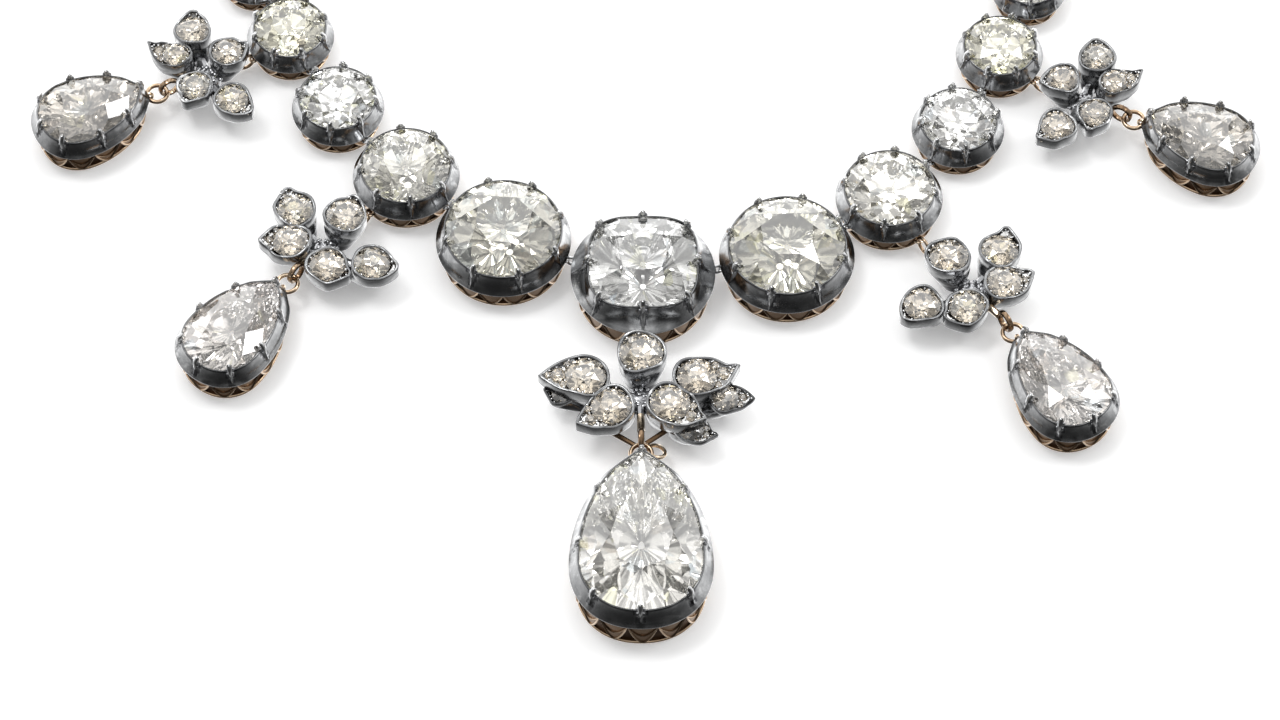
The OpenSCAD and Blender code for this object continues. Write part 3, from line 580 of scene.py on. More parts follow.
def prong(shell, edge, away, girdle, size):
    """A claw: a silver prong that leans over the stone's edge, forked by dark grains on each side."""
    across = np.array([-away[1], away[0]])
    jitter = DICE.uniform(-0.05, 0.05)
    tall = DICE.uniform(0.92, 1.12)

    def at(out, side, z):
        return np.array([*(edge + away * out * size + across * (side * size + jitter)), girdle + z * size * tall])

    profile = ((0.5, -0.5), (0.42, -0.1), (0.32, 0.25), (0.18, 0.72), (-0.06, 1.0), (-0.3, 0.76))
    line = [at(out, 0, z) for out, z in profile]
    radius = np.array([0.1, 0.23, 0.3, 0.33, 0.3, 0.1]) * size
    shell.tube(line, radius, [*across, 0], 9, SILVER)
    for side in (-1, 1):
        grain = DICE.uniform(0.15, 0.21) * size
        shell.ball(at(0.1, side * 0.36, 0.36), (grain, grain, grain * 1.6), DARK, 8, 5)
        shell.ball(at(0.28, side * 0.3, -0.1), grain * 0.9, DARK, 8, 4)
    shell.ball(at(-0.02, 0, 1.05), 0.2 * size, SILVER, 8, 4)


def band(shell, outline, away, section, slot):
    """A closed ring with the section, (out, z) pairs, along an outline."""
    shell.grid([flat(outline + away * out, z) for out, z in section], slot, loop=True)


def gallery(shell, outer, away, lip, waves, double=False):
    """The gold wall under the lip: a foot, a rail, and an apron that hangs in arcs over the shaded inside. The rail and
    apron are gold painted as in shade, and the liner inside is gold painted as in deep shade.
    """
    top = lip - 0.38
    foot = [
        (-0.79, 0.0), (-0.74, 0.05), (-0.7, 0.18), (-0.74, 0.3), (-0.84, 0.36), (-1.0, 0.34), (-1.1, 0.2), (-1.1, 0.0)
    ]
    rail = [(-0.42, top + 0.14), (-0.38, top + 0.02), (-0.46, top - 0.12), (-0.8, top - 0.12), (-0.95, top + 0.14)]
    liner = [(-1.02, 0.12), (-0.96, top), (-1.2, top), (-1.3, 0.12)]
    band(shell, outer, away, foot, OLD_GOLD)
    # Painted shade: the rail is gold in shade
    band(shell, outer, away, rail, SHADED_GOLD)
    # Painted shade: a liner of gold in deep shade fills the inside behind the arcs
    band(shell, outer, away, liner, DEEP_SHADE_GOLD)
    count = waves * ARC_STEPS
    line = resampled(outer, count)
    out = outward(line)
    low, high = 0.36, top - 0.22

    def hanging(share):
        """The height of the apron's edge, or of a shallower row of arcs."""
        x = np.abs(np.arange(count) / ARC_STEPS % 1 * 2 - 1)
        return low + (high - low) * (1 - share) + (high - low) * share * x**1.8

    def set_in(z):
        return -0.76 + 0.26 * z / max(lip, 0.1)

    edge = hanging(1.0)
    # Painted shade: the apron is gold in shade
    rows_of = [flat(line + out * (set_in(top) + step), top) for step in (0.0, -0.14)]
    rows_of += [flat(line + out * (set_in(edge) - 0.02 + step)[:, None], edge) for step in (-0.14, 0.0)]
    shell.grid(rows_of, SHADED_GOLD, loop=True)
    shell.tube(flat(line + out * set_in(edge)[:, None], edge), 0.12, flat(out, 0), 6, OLD_GOLD, closed=True)
    if double:
        upper = hanging(0.55)
        wire = flat(line + out * (set_in(upper) + 0.06)[:, None], upper)
        shell.tube(wire, 0.09, flat(out, 0), 6, OLD_GOLD, closed=True)


def rib_distance(outline, claw_points):
    """How far each point of an outline is from the nearest claw."""
    gaps = np.linalg.norm(outline[:, None] - np.asarray(claw_points)[None], axis=-1)
    return gaps.min(1)


def round_collet(white, warm, at, stone, turn, fine=True):
    """One round collet, added to a silver shell and to a gold one."""
    plain, rows, claw_size, lip_in = (96, 8, 1.0, 0.0) if fine else (40, 5, 0.75, 0.03)
    claws = [(turn + 90 + 45 * i) % 360 for i in range(8)]
    girdle, lip = girdle_height(stone), lip_height(stone) - LIP_HANGS
    lip_r = lip_radius(stone) - lip_in
    angles = angle_samples(claws, plain)
    inner = at + polar_points(angles, stone / 2)
    outer = at + polar_points(angles, lip_r)
    ribs = rib_distance(outer, [at + polar(lip_r, c) for c in claws])
    skirt(white, inner, outer, ribs, girdle, lip, at, min(0.42 * stone, girdle - FLOOR_CLEAR), rows)
    for c in claws:
        prong(white, at + polar(stone / 2, c), polar(1, c), girdle, claw_size)
    gallery(warm, outer, unit(outer - inner), lip, round(2 * math.pi * lip_r / WAVE))


# The row
def middle_of(node):
    low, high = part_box(node)
    at = (np.array(low) + np.array(high)) / 2 / MM + MIDDLE
    return at[:2]


def islands(node):
    """The middle and width of each loose stone of a node, from the front to the back."""
    bm = bmesh.new()
    bm.from_mesh(NODES[node].data)
    bmesh.ops.remove_doubles(bm, verts=bm.verts[:], dist=1e-6)
    seen, found = set(), []
    for start in bm.verts:
        if start in seen:
            continue
        group, queue = [], [start]
        seen.add(start)
        while queue:
            v = queue.pop()
            group.append(v.co[:2])
            for e in v.link_edges:
                w = e.other_vert(v)
                if w not in seen:
                    seen.add(w)
                    queue.append(w)
        group = np.array(group) / MM + MIDDLE[:2]
        low, high = group.min(0), group.max(0)
        found.append(((low + high) / 2, high[0] - low[0]))
    bm.free()
    return sorted(found, key=lambda item: item[0][1])


# The centre collet: heights of girdle and lip, the lip's radius, half the stone's width and how square it
# is, the pavilion's depth, and how much steeper the wall stands behind it
CENTRE_AT = np.array([0, -0.4])
CENTRE = {"girdle": 6.0, "lip": 3.8, "lip_r": 8.3, "half": 6.2, "power": 3.2, "pavilion": 5.3, "steeper": 0.6}
# Width, turn, material and cut of each stone from the centre outwards
FRONT = {
    "left": [(13.4, 16, WARM, 3), (10.4, 8, LIGHT, 0), (8.9, -8, BRIGHT_WHITE, 2), (8.4, 22, YELLOW, 0)],
    "right": [(13.4, -16, WARM, 4), (10.4, -8, LIGHT, 2), (8.9, 8, BRIGHT_WHITE, 2), (8.4, -22, YELLOW, 2)],
}
CLASP_AT = np.array([0.0, 132.0])
CLASP_L, CLASP_W, CLASP_CORNER = 9.0, 5.4, 1.2


def cushion(t, half, power):
    t = np.radians(np.asarray(t, float))
    c, s = np.cos(t), np.sin(t)
    r = half * (np.abs(c) ** power + np.abs(s) ** power) ** (-1 / power)
    return np.stack([r * c, r * s], -1)


BACK_STONES = {side: islands(f"diamonds_back_{side}") for side in SIDES}
# Each side's places, from the centre to the clasp: where it is, how far out its eyes sit, its lip's height
rows = {}
for side in SIDES:
    places = [(CENTRE_AT, CENTRE["lip_r"] - EYE_IN, CENTRE["lip"])]
    front = [(middle_of(f"diamond_{side}_{k}"), entry[0]) for k, entry in enumerate(FRONT[side], 1)]
    for at, stone in front + BACK_STONES[side]:
        places.append((at, lip_radius(stone) - EYE_IN, lip_height(stone)))
    sign = -1 if side == "left" else 1
    places.append((CLASP_AT + [sign * CLASP_L / 2, 0], -EYE_IN, places[-1][2]))
    rows[side] = places


def link_height(side, k):
    (a, a_out, a_lip), (b, b_out, b_lip) = rows[side][k], rows[side][k + 1]
    one = a + polar(a_out, way(a, b))
    two = b + polar(b_out, way(b, a))
    return min(a_lip, b_lip) - np.linalg.norm(one - two) / 2 - LINK_DOWN


def add_eyes(shell, side, k):
    """The small eyes of place k towards its neighbours in the row."""
    at, out, _ = rows[side][k]
    for other in (k - 1, k + 1):
        if 0 <= other < len(rows[side]):
            centre = at + polar(out, way(at, rows[side][other][0]))
            shell.eye(centre, link_height(side, min(k, other)), EYE_R, EYE_WIRE, SILVER)


# Drops. Each leaf: its place beside the hub, where its tip points, its length, width and rim's height,
# and whether a peg holds it up. A cluster on the right mirrors its table.
CENTRE_LEAVES = [
    # x, y, tip, length, width, rim, peg
    (0.1, 4.3, -90, 5.8, 5.8, 5.6, 0),
    (-7.4, 1.6, 172, 8.2, 5.6, 5, 0),
    (7.5, 1.5, 8, 7.8, 5.4, 5.2, 0),
    (-4, -3.1, -141, 7.4, 5.4, 5, 0),
    (4.1, -2.8, -36, 7.4, 5.4, 5.2, 0),
    (-9, 0.5, 186, 3.8, 3.2, 2.9, 1),
    (10.2, -0.3, 8, 5.4, 4, 3.3, 1),
    (6.2, -4.6, -30, 5.2, 3.8, 3.2, 1),
]
LOWER_LEAVES = [
    (-3.5, 4.75, 125, 5.8, 5, 4.9, 0),
    (-4.25, 0.1, 170, 6.2, 5, 5, 0),
    (2.6, 3.5, 40, 5.3, 5.2, 5.2, 0),
    (0.8, -3.25, -50, 5.6, 5, 4.6, 0),
    (6, -2.9, -28, 5.6, 5, 4.6, 1),
]
UPPER_LEAVES = [
    (-1.85, 5.5, 110, 5, 4.6, 5, 0),
    (-4.5, 2.1, 163, 5.8, 3.8, 4.8, 0),
    (2.65, 2.2, 10, 4.8, 4.4, 5, 0),
    (-1.2, -2.65, -95, 4.8, 4.4, 4.6, 0),
    (3.5, -4.6, -50, 5.4, 4.6, 4.6, 1),
]
# Carrier: the place in the row that it hangs from. Linked: the leaf linked to it. Head: the middle of the
# pear's round end. Aim: where its tip points. Width and reach: the stone's width, and its tip from the head.
DROP_COLUMNS = ("side", "carrier", "hub", "linked", "head", "aim", "width", "reach", "gem", "leaves")
DROPS = {
    "centre": ("left", 0, (-0.3, -16.9), 0, (-0.2, -39.9), 90, 13.8, 13.5, PEARL, CENTRE_LEAVES),
    "lower_left": ("left", 2, (-36.8, 3.35), 2, (-47.5, -10.1), 53, 9.2, 9.1, ROSY, LOWER_LEAVES),
    "lower_right": ("right", 2, (37.6, -2.35), 2, (48.1, -17.4), 122, 9.2, 9.1, ROSY, LOWER_LEAVES),
    "upper_left": ("left", 4, (-51.3, 28.1), 2, (-66, 21.3), 26, 8.9, 7.9, TAUPE, UPPER_LEAVES),
    "upper_right": ("right", 4, (51.6, 24.2), 2, (66.4, 17.5), 154, 8.9, 7.9, TAUPE, UPPER_LEAVES),
}
DROPS = {name: dict(zip(DROP_COLUMNS, entries)) for name, entries in DROPS.items()}
for drop in DROPS.values():
    drop["hub"], drop["head"] = np.array(drop["hub"], float), np.array(drop["head"], float)


def leaf_place(drop, leaf):
    return np.array([leaf[0] if drop["side"] == "left" else -leaf[0], leaf[1]], float)


def leaf_tip(drop, leaf):
    return leaf[2] if drop["side"] == "left" else 180 - leaf[2]


def carrier_eyes(drop):
    """Where the gold eye on the collet and the one on the cluster sit."""
    at, out, _ = rows[drop["side"]][drop["carrier"]]
    if drop["carrier"] == 0:
        at = np.zeros(2)  # The centre's eye is placed from the middle of the row, as in the CAD
    angle = way(at, drop["hub"] + leaf_place(drop, drop["leaves"][drop["linked"]]))
    first = at + polar(out + EYE_IN - BASE_IN + CARRIER_OUT, angle)
    return first, first + polar(CARRIER_EYES_APART, angle)


def carrier_eye(shell, at):
    shell.eye(at, CARRIER_RING_Z, CARRIER_EYE_R, CARRIER_EYE_WIRE, GOLD)


def stone_piece(name, points, faces, material, slot, node):
    shell = Shell()
    shell.add(points, faces, 0, soft=False)
    return shell.object(name, [material], slot, node)


def front_row():
    for side in SIDES:
        for k, (stone, turn, material, kind) in enumerate(FRONT[side], 1):
            at = rows[side][k][0]
            white, warm = Shell(), Shell()
            round_collet(white, warm, at, stone, turn)
            add_eyes(white, side, k)
            for drop in DROPS.values():
                if drop["side"] == side and drop["carrier"] == k:
                    carrier_eye(warm, carrier_eyes(drop)[0])
            white.object(f"collet_skirt_{side}_{k}", METALS, "silver", f"collet_{side}_{k}")
            warm.object(f"collet_gallery_{side}_{k}", METALS, "gold")
            form = UNIT_STONES[kind]
            points = placed(form, (*at, girdle_height(stone)), stone, turn + DICE.uniform(-8, 8))
            stone_piece(f"stone_{side}_{k}", points, form[1], material, "diamond", f"diamond_{side}_{k}")


def centre_collet():
    claws = [90 + 45 * i for i in range(8)]
    angles = angle_samples([c % 360 for c in claws], 120)
    inner = CENTRE_AT + cushion(angles, CENTRE["half"], CENTRE["power"])
    # The wall stands steeper behind the stone
    behind = smooth_step(40, 0, np.abs(angles - 90))
    outer = CENTRE_AT + polar_points(angles, 1) * (CENTRE["lip_r"] - CENTRE["steeper"] * behind)[:, None]
    ribs = rib_distance(outer, [CENTRE_AT + polar(CENTRE["lip_r"], c) for c in claws])
    girdle, lip = CENTRE["girdle"], CENTRE["lip"] - LIP_HANGS
    white, warm = Shell(), Shell()
    skirt(white, inner, outer, ribs, girdle, lip, CENTRE_AT, CENTRE["pavilion"], 10, 1.1)
    for c in claws:
        edge = CENTRE_AT + cushion([c], CENTRE["half"], CENTRE["power"])[0]
        prong(white, edge, polar(1, c), girdle, 1.05)
    gallery(warm, outer, unit(outer - CENTRE_AT), lip, round(2 * math.pi * CENTRE["lip_r"] / WAVE))
    for side in SIDES:
        add_eyes(white, side, 0)
    carrier_eye(warm, carrier_eyes(DROPS["centre"])[0])
    white.object("collet_skirt_centre", METALS, "silver", "collet_centre")
    warm.object("collet_gallery_centre", METALS, "gold")
    count = 96
    line = resampled(cushion(np.linspace(0, 360, 720, endpoint=False), CENTRE["half"] - 0.01, CENTRE["power"]), count)
    form = cut_stone(line, *eighths(count), 2.3, CENTRE["pavilion"], 0.44, 0.5, 0.6, 0.12, uneven=0.05)
    points = form[0] + np.array([*CENTRE_AT, girdle])
    stone_piece("stone_centre", points, form[1], CLEAR, "diamond", "diamond_centre")


def back_rows():
    for side in SIDES:
        white, warm, stones = Shell(), Shell(), Shell()
        for k, (at, stone) in enumerate(BACK_STONES[side], 1 + len(FRONT[side])):
            round_collet(white, warm, at, stone, DICE.choice((0, 11, 22)), fine=False)
            add_eyes(white, side, k)
            form = UNIT_STONES[k % 3]
            points = placed(form, (*at, girdle_height(stone)), stone * 0.995, DICE.uniform(0, 45))
            stones.add(points, form[1], 0, soft=False)
        white.object(f"collet_skirts_back_{side}", METALS, "silver", f"collets_back_{side}")
        warm.object(f"collet_galleries_back_{side}", METALS, "gold")
        stones.object(f"stones_back_{side}", [LIGHT], "diamond", f"diamonds_back_{side}")


# Pears
PEAR_CULET = 0.14
PEAR_CLAWS = (90, 138, 42, 172, 8, 222, 318, 270)
PEAR_MAINS = (90, 135, 172, 225, 270, 315, 8, 45)


def pear_outline(w, reach, count, blunt=1.08, tip_power=0.35):
    """An outline with its tip at +Y, w half its width. blunt is how far past the tip its flanks' arcs
    would meet, and tip_power how round the tip is."""
    t = np.radians(np.linspace(0, 360, 1440, endpoint=False))
    r = reach * blunt
    arc = (w * w + r * r) / (2 * w)
    y = np.where(t <= math.pi, reach * np.sin(t), 0)
    side = np.sqrt(np.maximum(arc * arc - y * y, 0)) - (arc - w)
    upper = np.sign(np.cos(t)) * side * np.abs(np.cos(t)) ** (tip_power * smooth_step(0.8, 1.0, np.sin(t)))
    lower_x = np.sign(np.cos(t)) * np.abs(np.cos(t)) ** 0.92 * w
    lower_y = -np.abs(np.sin(t)) ** 0.92 * w
    x = np.where(t <= math.pi, upper, lower_x)
    y = np.where(t <= math.pi, y, lower_y)
    return resampled(np.stack([x, y], -1), count)


def pear_sizes(drop):
    """Heights of girdle and lip, and how far the lip stands out past the stone."""
    girdle = 2.6 + 0.29 * drop["width"]
    lip = girdle - 1.5 - 0.05 * drop["width"]
    past = 0.98 + 0.03 * (drop["width"] - 9.2)
    return girdle, lip, past


PEAR_EYE_OUT, DROP_RING_R, DROP_RING_Z, BAIL_OUT, BAIL_UP = 0.35, 1.2, 2.7, 0.4, 0.35


def pear_eye_reach(drop):
    """How far the pear's eye is from its head."""
    return drop["reach"] + 1.1 * (pear_sizes(drop)[2] - GALLERY_IN) + PEAR_EYE_OUT


def bail_at(drop):
    return drop["head"] + polar(pear_eye_reach(drop) + 2 * DROP_RING_R + BAIL_OUT, drop["aim"])


def nearest(line, drop, angle):
    """The outline's point at an angle about the middle of the round end, stretched as the outline is."""
    x, y = polar(1, angle)
    target = np.array([x * drop["width"] / 2, y * (drop["reach"] if y > 0 else drop["width"] / 2)])
    return int(np.argmin(np.linalg.norm(line - target, axis=1)))


def between(a, b, count):
    """The point half way from a to b along an outline."""
    return (a + ((b - a) % count) // 2) % count


def pear(name, drop):
    girdle, lip, past = pear_sizes(drop)
    count = 200
    line = pear_outline(drop["width"] / 2, drop["reach"], count)
    normal = outward(line)
    lip_line = line + normal * past
    claws = [nearest(line, drop, t) for t in PEAR_CLAWS]

    def there(points):
        return turned(points, drop["aim"] - 90) + drop["head"]

    inner, outer = there(line), there(lip_line)
    away = unit(outer - inner)
    white, warm = Shell(), Shell()
    culet = there(np.array([0, drop["reach"] * PEAR_CULET]))
    pavilion = girdle - 0.5
    skirt(white, inner, outer, rib_distance(outer, outer[claws]), girdle, lip, culet, pavilion, 9)
    for i in claws:
        prong(white, inner[i], away[i], girdle, 1.0)
    length = np.linalg.norm(np.diff(np.vstack([outer, outer[:1]]), axis=0), axis=1).sum()
    gallery(warm, outer, away, lip, round(length / PEAR_WAVE), double=True)
    aim = polar(1, drop["aim"])
    warm.ring([*(drop["head"] + aim * pear_eye_reach(drop)), DROP_RING_Z], (-aim[1], aim[0], 0), 0.62, 0.19, 24, GOLD)
    white.object(f"pear_skirt_{name}", METALS, "silver", f"pear_setting_{name}")
    warm.object(f"pear_gallery_{name}", METALS, "gold")
    places = [nearest(line, drop, t) for t in PEAR_MAINS]
    halves = [between(places[k], places[(k + 1) % 8], count) for k in range(8)]
    form = cut_stone(
        line * 0.999, places, halves, 0.15 * drop["width"], pavilion, 0.5, 0.5, 0.6, 0.07,
        middle=(0, drop["reach"] * PEAR_CULET), uneven=0.05,
    )
    points = np.concatenate([there(form[0][:, :2]), form[0][:, 2:] + girdle], 1)
    stone_piece(f"pear_stone_{name}", points, form[1], drop["gem"], "diamond", f"pear_diamond_{name}")


# Leaves
LEAF_POINTS = 72
# How far the centre cluster's rims stand above its solid's
CENTRE_LIFT = 0.45
# The main stone's width as a share of the leaf's, how far the stones sit below the rim, and the fall of
# rim and stones towards the tip
OPENING = 0.9
SEAT_DOWN, STONE_DOWN = 0.1, 0.12
LEAN = 0.06
# A leaf with a rim below this lies under another
UNDER_RIM = 4.2
GRAINS = 14
PEG = ((0.02, 0.24), (0.12, 0.36), (0.5, 0.42), (1.1, 0.6), (1.9, 0.95))  # height, radius


def leaf_line(length, width):
    """A leaf's outline round its middle, how far its tip is, and how far back its round end's middle."""
    half = width / 2
    reach = length - half
    back = (reach - half) / 2
    line = pear_outline(half, reach, LEAF_POINTS, blunt=1.0, tip_power=0.0)
    return line - [0, back], reach - back, back


def curled(line, normal, tip_y, rim, curl, dice):
    """The rim's height at each point of a leaf's outline, and how far its waves and hooked tip move it."""
    hook = dice.uniform(0.45, 0.75)
    phase = dice.uniform(0, 6.28)
    tipness = smooth_step(0.45, 1.0, line[:, 1] / tip_y)
    angle = np.arctan2(line[:, 1], line[:, 0])
    wave = 0.16 * np.sin(2 * angle + phase) + 0.07 * np.sin(5 * angle + 2 * phase)
    height = rim - 0.12 + wave - LEAN * line[:, 1] + 0.3 * tipness**2
    ripple = 0.1 * np.sin(3 * angle + phase) * (1 - tipness)
    bend = np.stack([curl * hook * tipness**2, 0.12 * tipness**3], -1) + normal * (ripple - 0.08)[:, None]
    return height, bend


def small_places(length, width, tip_y, used, main, curl):
    """x, y and radius of the small stones between the main one, which ends at used, and the tip."""
    small = []
    room = tip_y - used - 0.3
    if room > 0.7:
        first = min(room * 0.33, main * 0.5)
        small.append((curl * 0.1, used + first * 0.8, first))
        rest = used + first * 1.9
        if tip_y - rest > 0.6:
            small.append((curl * 0.2, rest + 0.25, 0.36))
    if length - width > 1.2:
        small += [(-main * 0.55, used - 0.05, 0.42), (main * 0.6, used - 0.1, 0.38)]
    return small


def leaf(shell, stones, drop, entry, seed):
    """One leaf: a cup with a curled rim, its main stone, the small ones at its tip and their grains."""
    dice = random.Random(seed)
    _, _, _, length, width, rim, peg = entry
    rim += CENTRE_LIFT if drop["leaves"] is CENTRE_LEAVES else 0
    place, tip = leaf_place(drop, entry), leaf_tip(drop, entry)
    line, tip_y, back = leaf_line(length, width)
    normal = outward(line)
    curl = dice.choice((-1, 1)) * (1 if drop["side"] == "left" else -1)
    height, bend = curled(line, normal, tip_y, rim, curl, dice)
    under = rim < UNDER_RIM
    thick = 0.38 if width > 4.1 else 0.3
    wall = 0.6 if under else 1.5
    main = width / 2 * OPENING - 0.12
    centre_y = -back + 0.05 * (length - width)
    rows_of, slots_of = [], []

    def row(out, depth, scale=1.0, inward=0.0, level=None, keep=1.0, slot=SILVER):
        """Along the rim, at a depth below it or at a level. keep is its share of the tip's hook."""
        local = (line + normal * out + bend * keep) * scale
        at = turned(local, tip - 90) + drop["hub"] + place * (1 - inward)
        rows_of.append(flat(at, height - depth if level is None else level))
        slots_of.extend([slot] * LEAF_POINTS)

    def seat_row(radius, depth, slot):
        """Round the main stone, at a depth below its seat."""
        round_it = unit(line - [0, centre_y]) * radius + [0, centre_y]
        z = rim - SEAT_DOWN - LEAN * round_it[:, 1] - depth
        rows_of.append(flat(turned(round_it, tip - 90) + drop["hub"] + place, z))
        slots_of.extend([slot] * LEAF_POINTS)

    # Painted shade: the seat under the main stone is dark silver
    seat_row(0.35 * main, 0.3 + 0.92 * main, DARK)
    seat_row(0.55 * main, 0.2 + 0.7 * main, DARK)
    seat_row(main + 0.02, 0.42, SILVER)
    seat_row(main + 0.1, 0.34, BRIGHT)
    # Painted shade: the inside of the rim below the stones is dark silver
    row(-thick - 0.12, 0.46, slot=DARK)
    row(-thick, 0.3, slot=DARK)
    # Up the inside of the rim, over it and down the wall
    for out, depth in (
        (-thick, 0.08), (-thick + 0.08, -0.02), (-0.5 * thick, -0.05), (-0.08, -0.02),
        (0.0, 0.08), (0.0, 0.35), (-0.04, wall), (-0.12, wall + 0.15),
    ):
        row(out, depth)
    row(0, wall + 0.45, 0.93, 0.05, keep=0.7)
    # Painted shade: the leaf's underside is dark silver
    row(0, 0, 0.78, 0.16, level=1.4 if under else 0.45 * rim, keep=0.4, slot=DARK)
    row(0, 0, 0.58, 0.28, level=0.9 if under else 1.3, keep=0.0, slot=DARK)
    shell.grid(rows_of, slots_of[: (len(rows_of) - 1) * LEAF_POINTS], ends=True)

    def local_at(px, py, z):
        at = turned(np.array([px, py]), tip - 90) + drop["hub"] + place
        return np.array([*at, z])

    seat = rim - SEAT_DOWN
    slope = turned(np.array([0, -LEAN]), tip - 90)

    def set_stone(form, px, py, radius):
        at = local_at(px, py, seat - STONE_DOWN - LEAN * py)
        stones.add(placed(form, at, radius * 2, dice.uniform(0, 45), slope), form[1], 0, False)

    set_stone(UNIT_STONES[dice.randrange(3)], 0, centre_y, main)
    small = small_places(length, width, tip_y, centre_y + main, main, curl)
    for px, py, r in small:
        set_stone(SMALL_STONE, px, py, r)
    # Grains that hold the stones, pushed up along the rim
    for k in range(GRAINS):
        i = int((k + dice.uniform(-0.3, 0.3)) * LEAF_POINTS / GRAINS) % LEAF_POINTS
        px, py = line[i] - normal[i] * (thick + 0.12) + bend[i]
        size = dice.uniform(0.1, 0.17)
        shell.ball(local_at(px, py, height[i] - 0.22), (size, size, size * 1.2), SILVER, 7, 4)
    for px, py, r in small:
        for side in (-1, 1):
            shell.ball(local_at(px + side * r, py - r * 0.5, seat - 0.05), 0.13, SILVER, 7, 4)
    if peg:
        at = drop["hub"] + place * 0.92
        shell.tube([[*at, z] for z, _ in PEG], [r for _, r in PEG], (1, 0, 0), 12, SILVER)


def arm(shell, a, b, za, zb, ra, rb, slot, sag=0.0):
    """A bar from a to b, with its height and radius at either end."""
    t = np.linspace(0, 1, 7)[:, None]
    line = flat(a + (b - a) * t, (za + (zb - za) * t[:, 0]) - sag * np.sin(math.pi * t[:, 0]))
    shell.tube(line, ra + (rb - ra) * t[:, 0], (0.1, 0.05, 1), 8, slot)


BAIL_R = 1.12
HUB_Z = 2.1
HUB_BEADS = 46
# The centre cluster's two gold wires, from under a leaf to the bail, and the spare ring beside it
CROSSED_WIRES = (((-4.9, -19.9), (-0.9, -22.3)), ((3.9, -19.6), (0.3, -22.1)))
SPARE_RING = (1.5, -23.5, 2.1)


def bail_band(shell, at, z, aim):
    """The bail: a broad band of gold, upright and in line with the drop."""
    turn = np.linspace(0, 2 * math.pi, 32, endpoint=False)
    across = np.array([-aim[1], aim[0]])
    half = [(0.26, 0.0), (0.2, 0.26), (0.0, 0.36), (-0.18, 0.26), (-0.22, 0.0)]
    section = half + [(out, -side) for out, side in half[3:0:-1]]
    rows_of = []
    for out, side in section:
        r = BAIL_R + out
        xy = at + np.outer(np.cos(turn) * r, aim) + across * side
        rows_of.append(flat(xy, z + np.sin(turn) * r))
    shell.grid(rows_of, GOLD, loop=True)


def cluster(name, drop, seed):
    """The leaves on their hub, the bail for the pear and the eye for the carrier ring."""
    metal_shell, stones, wires = Shell(), Shell(), Shell()
    hub = drop["hub"]
    for i, entry in enumerate(drop["leaves"]):
        leaf(metal_shell, stones, drop, entry, seed * 31 + i)
        place = leaf_place(drop, entry)
        # Painted shade: each arm under its leaf is dark silver
        arm(metal_shell, hub, hub + place * 0.72, 2.3, 1.9, 0.62, 0.75, DARK, sag=0.15)
    dice = random.Random(seed)
    # The hub and its beads are dark silver, blackened and in painted shade under the leaves
    metal_shell.ball([*hub, HUB_Z], (1.7, 1.7, 1.25), DARK, 20, 10)
    for _ in range(HUB_BEADS):
        t, r = dice.uniform(0, 360), 1.75 * math.sqrt(dice.random())
        z = HUB_Z + 1.2 * math.sqrt(max(0, 1 - (r / 1.8) ** 2))
        size = dice.uniform(0.14, 0.3)
        metal_shell.ball([*(hub + polar(r, t)), z], (size, size, size * 0.9), DARK, 7, 4)
    bail = bail_at(drop)
    aim = polar(1, drop["aim"])
    end = bail + (hub - bail) / np.linalg.norm(hub - bail) * BAIL_R
    bail_z = DROP_RING_Z + BAIL_UP
    half, half_z = hub + (end - hub) * 0.5, (DROP_RING_Z + bail_z) / 2
    # Painted shade: the bar's half under the leaves is dark silver, and its half out to the bail is gold
    arm(metal_shell, hub, half, DROP_RING_Z, half_z, 0.5, 0.46, DARK)
    arm(wires, half, end, half_z, bail_z, 0.44, 0.44, GOLD)
    bail_band(wires, bail, bail_z, aim)
    eye = carrier_eyes(drop)[1]
    linked = hub + leaf_place(drop, drop["leaves"][drop["linked"]])
    carrier_eye(wires, eye)
    arm(wires, eye + polar(CARRIER_EYE_R, way(eye, linked)), linked, CARRIER_RING_Z, 1.7, 0.24, 0.27, GOLD)
    if name == "centre":
        # The crossed wires take the same gold painted as in shade
        for a, b in CROSSED_WIRES:
            arm(wires, np.array(a), np.array(b), 1.9, 1.5, 0.36, 0.3, SHADED_GOLD)
        wires.ring(SPARE_RING, (0.25, 0.3, 1), 1.0, 0.24, 28, GOLD)
    metal_shell.object(f"leaf_cups_{name}", METALS, "silver", f"leaves_{name}")
    wires.object(f"leaf_wires_{name}", METALS, "gold")
    stones.object(f"leaf_stones_{name}", [CHAMPAGNE], "leaf_diamond", f"leaf_diamonds_{name}")


# Clasp
def clasp():
    shell = Shell()
    half = np.array([CLASP_L / 2 - 0.5, CLASP_W / 2])
    normal = circle(64, 1)
    line = np.sign(np.round(normal, 6)) * (half - CLASP_CORNER) + normal * CLASP_CORNER
    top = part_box("clasp")[1][2] / MM
    section = [
        (-0.5, 0.0), (-0.12, 0.04), (-0.02, 0.2), (-0.02, top * 0.44), (-0.14, top * 0.47), (-0.14, top * 0.51),
        (-0.02, top * 0.54), (-0.02, top - 0.35), (-0.14, top - 0.1), (-0.45, top), (-0.75, top), (-0.85, top - 0.08),
    ]
    # Dark up to the top's rim
    slots_of = [DARK] * len(line) * 7 + [SILVER] * len(line) * (len(section) - 8)
    shell.grid([flat(CLASP_AT + line + normal * out, z) for out, z in section], slots_of, ends=True)
    for side in SIDES:
        add_eyes(shell, side, len(rows[side]) - 1)
    shell.object("clasp_case", METALS, "silver", "clasp")


front_row()
centre_collet()
back_rows()
for number, (drop_name, drop) in enumerate(DROPS.items()):
    pear(drop_name, drop)
    cluster(drop_name, drop, number + 3)
clasp()

# The wire links and rings keep their solids' shapes
for node_name, obj in NODES.items():
    if node_name.startswith("links_") or "_ring_" in node_name:
        obj.data.materials.clear()
        obj.data.materials.append(silver if node_name.startswith("links_") else gold)


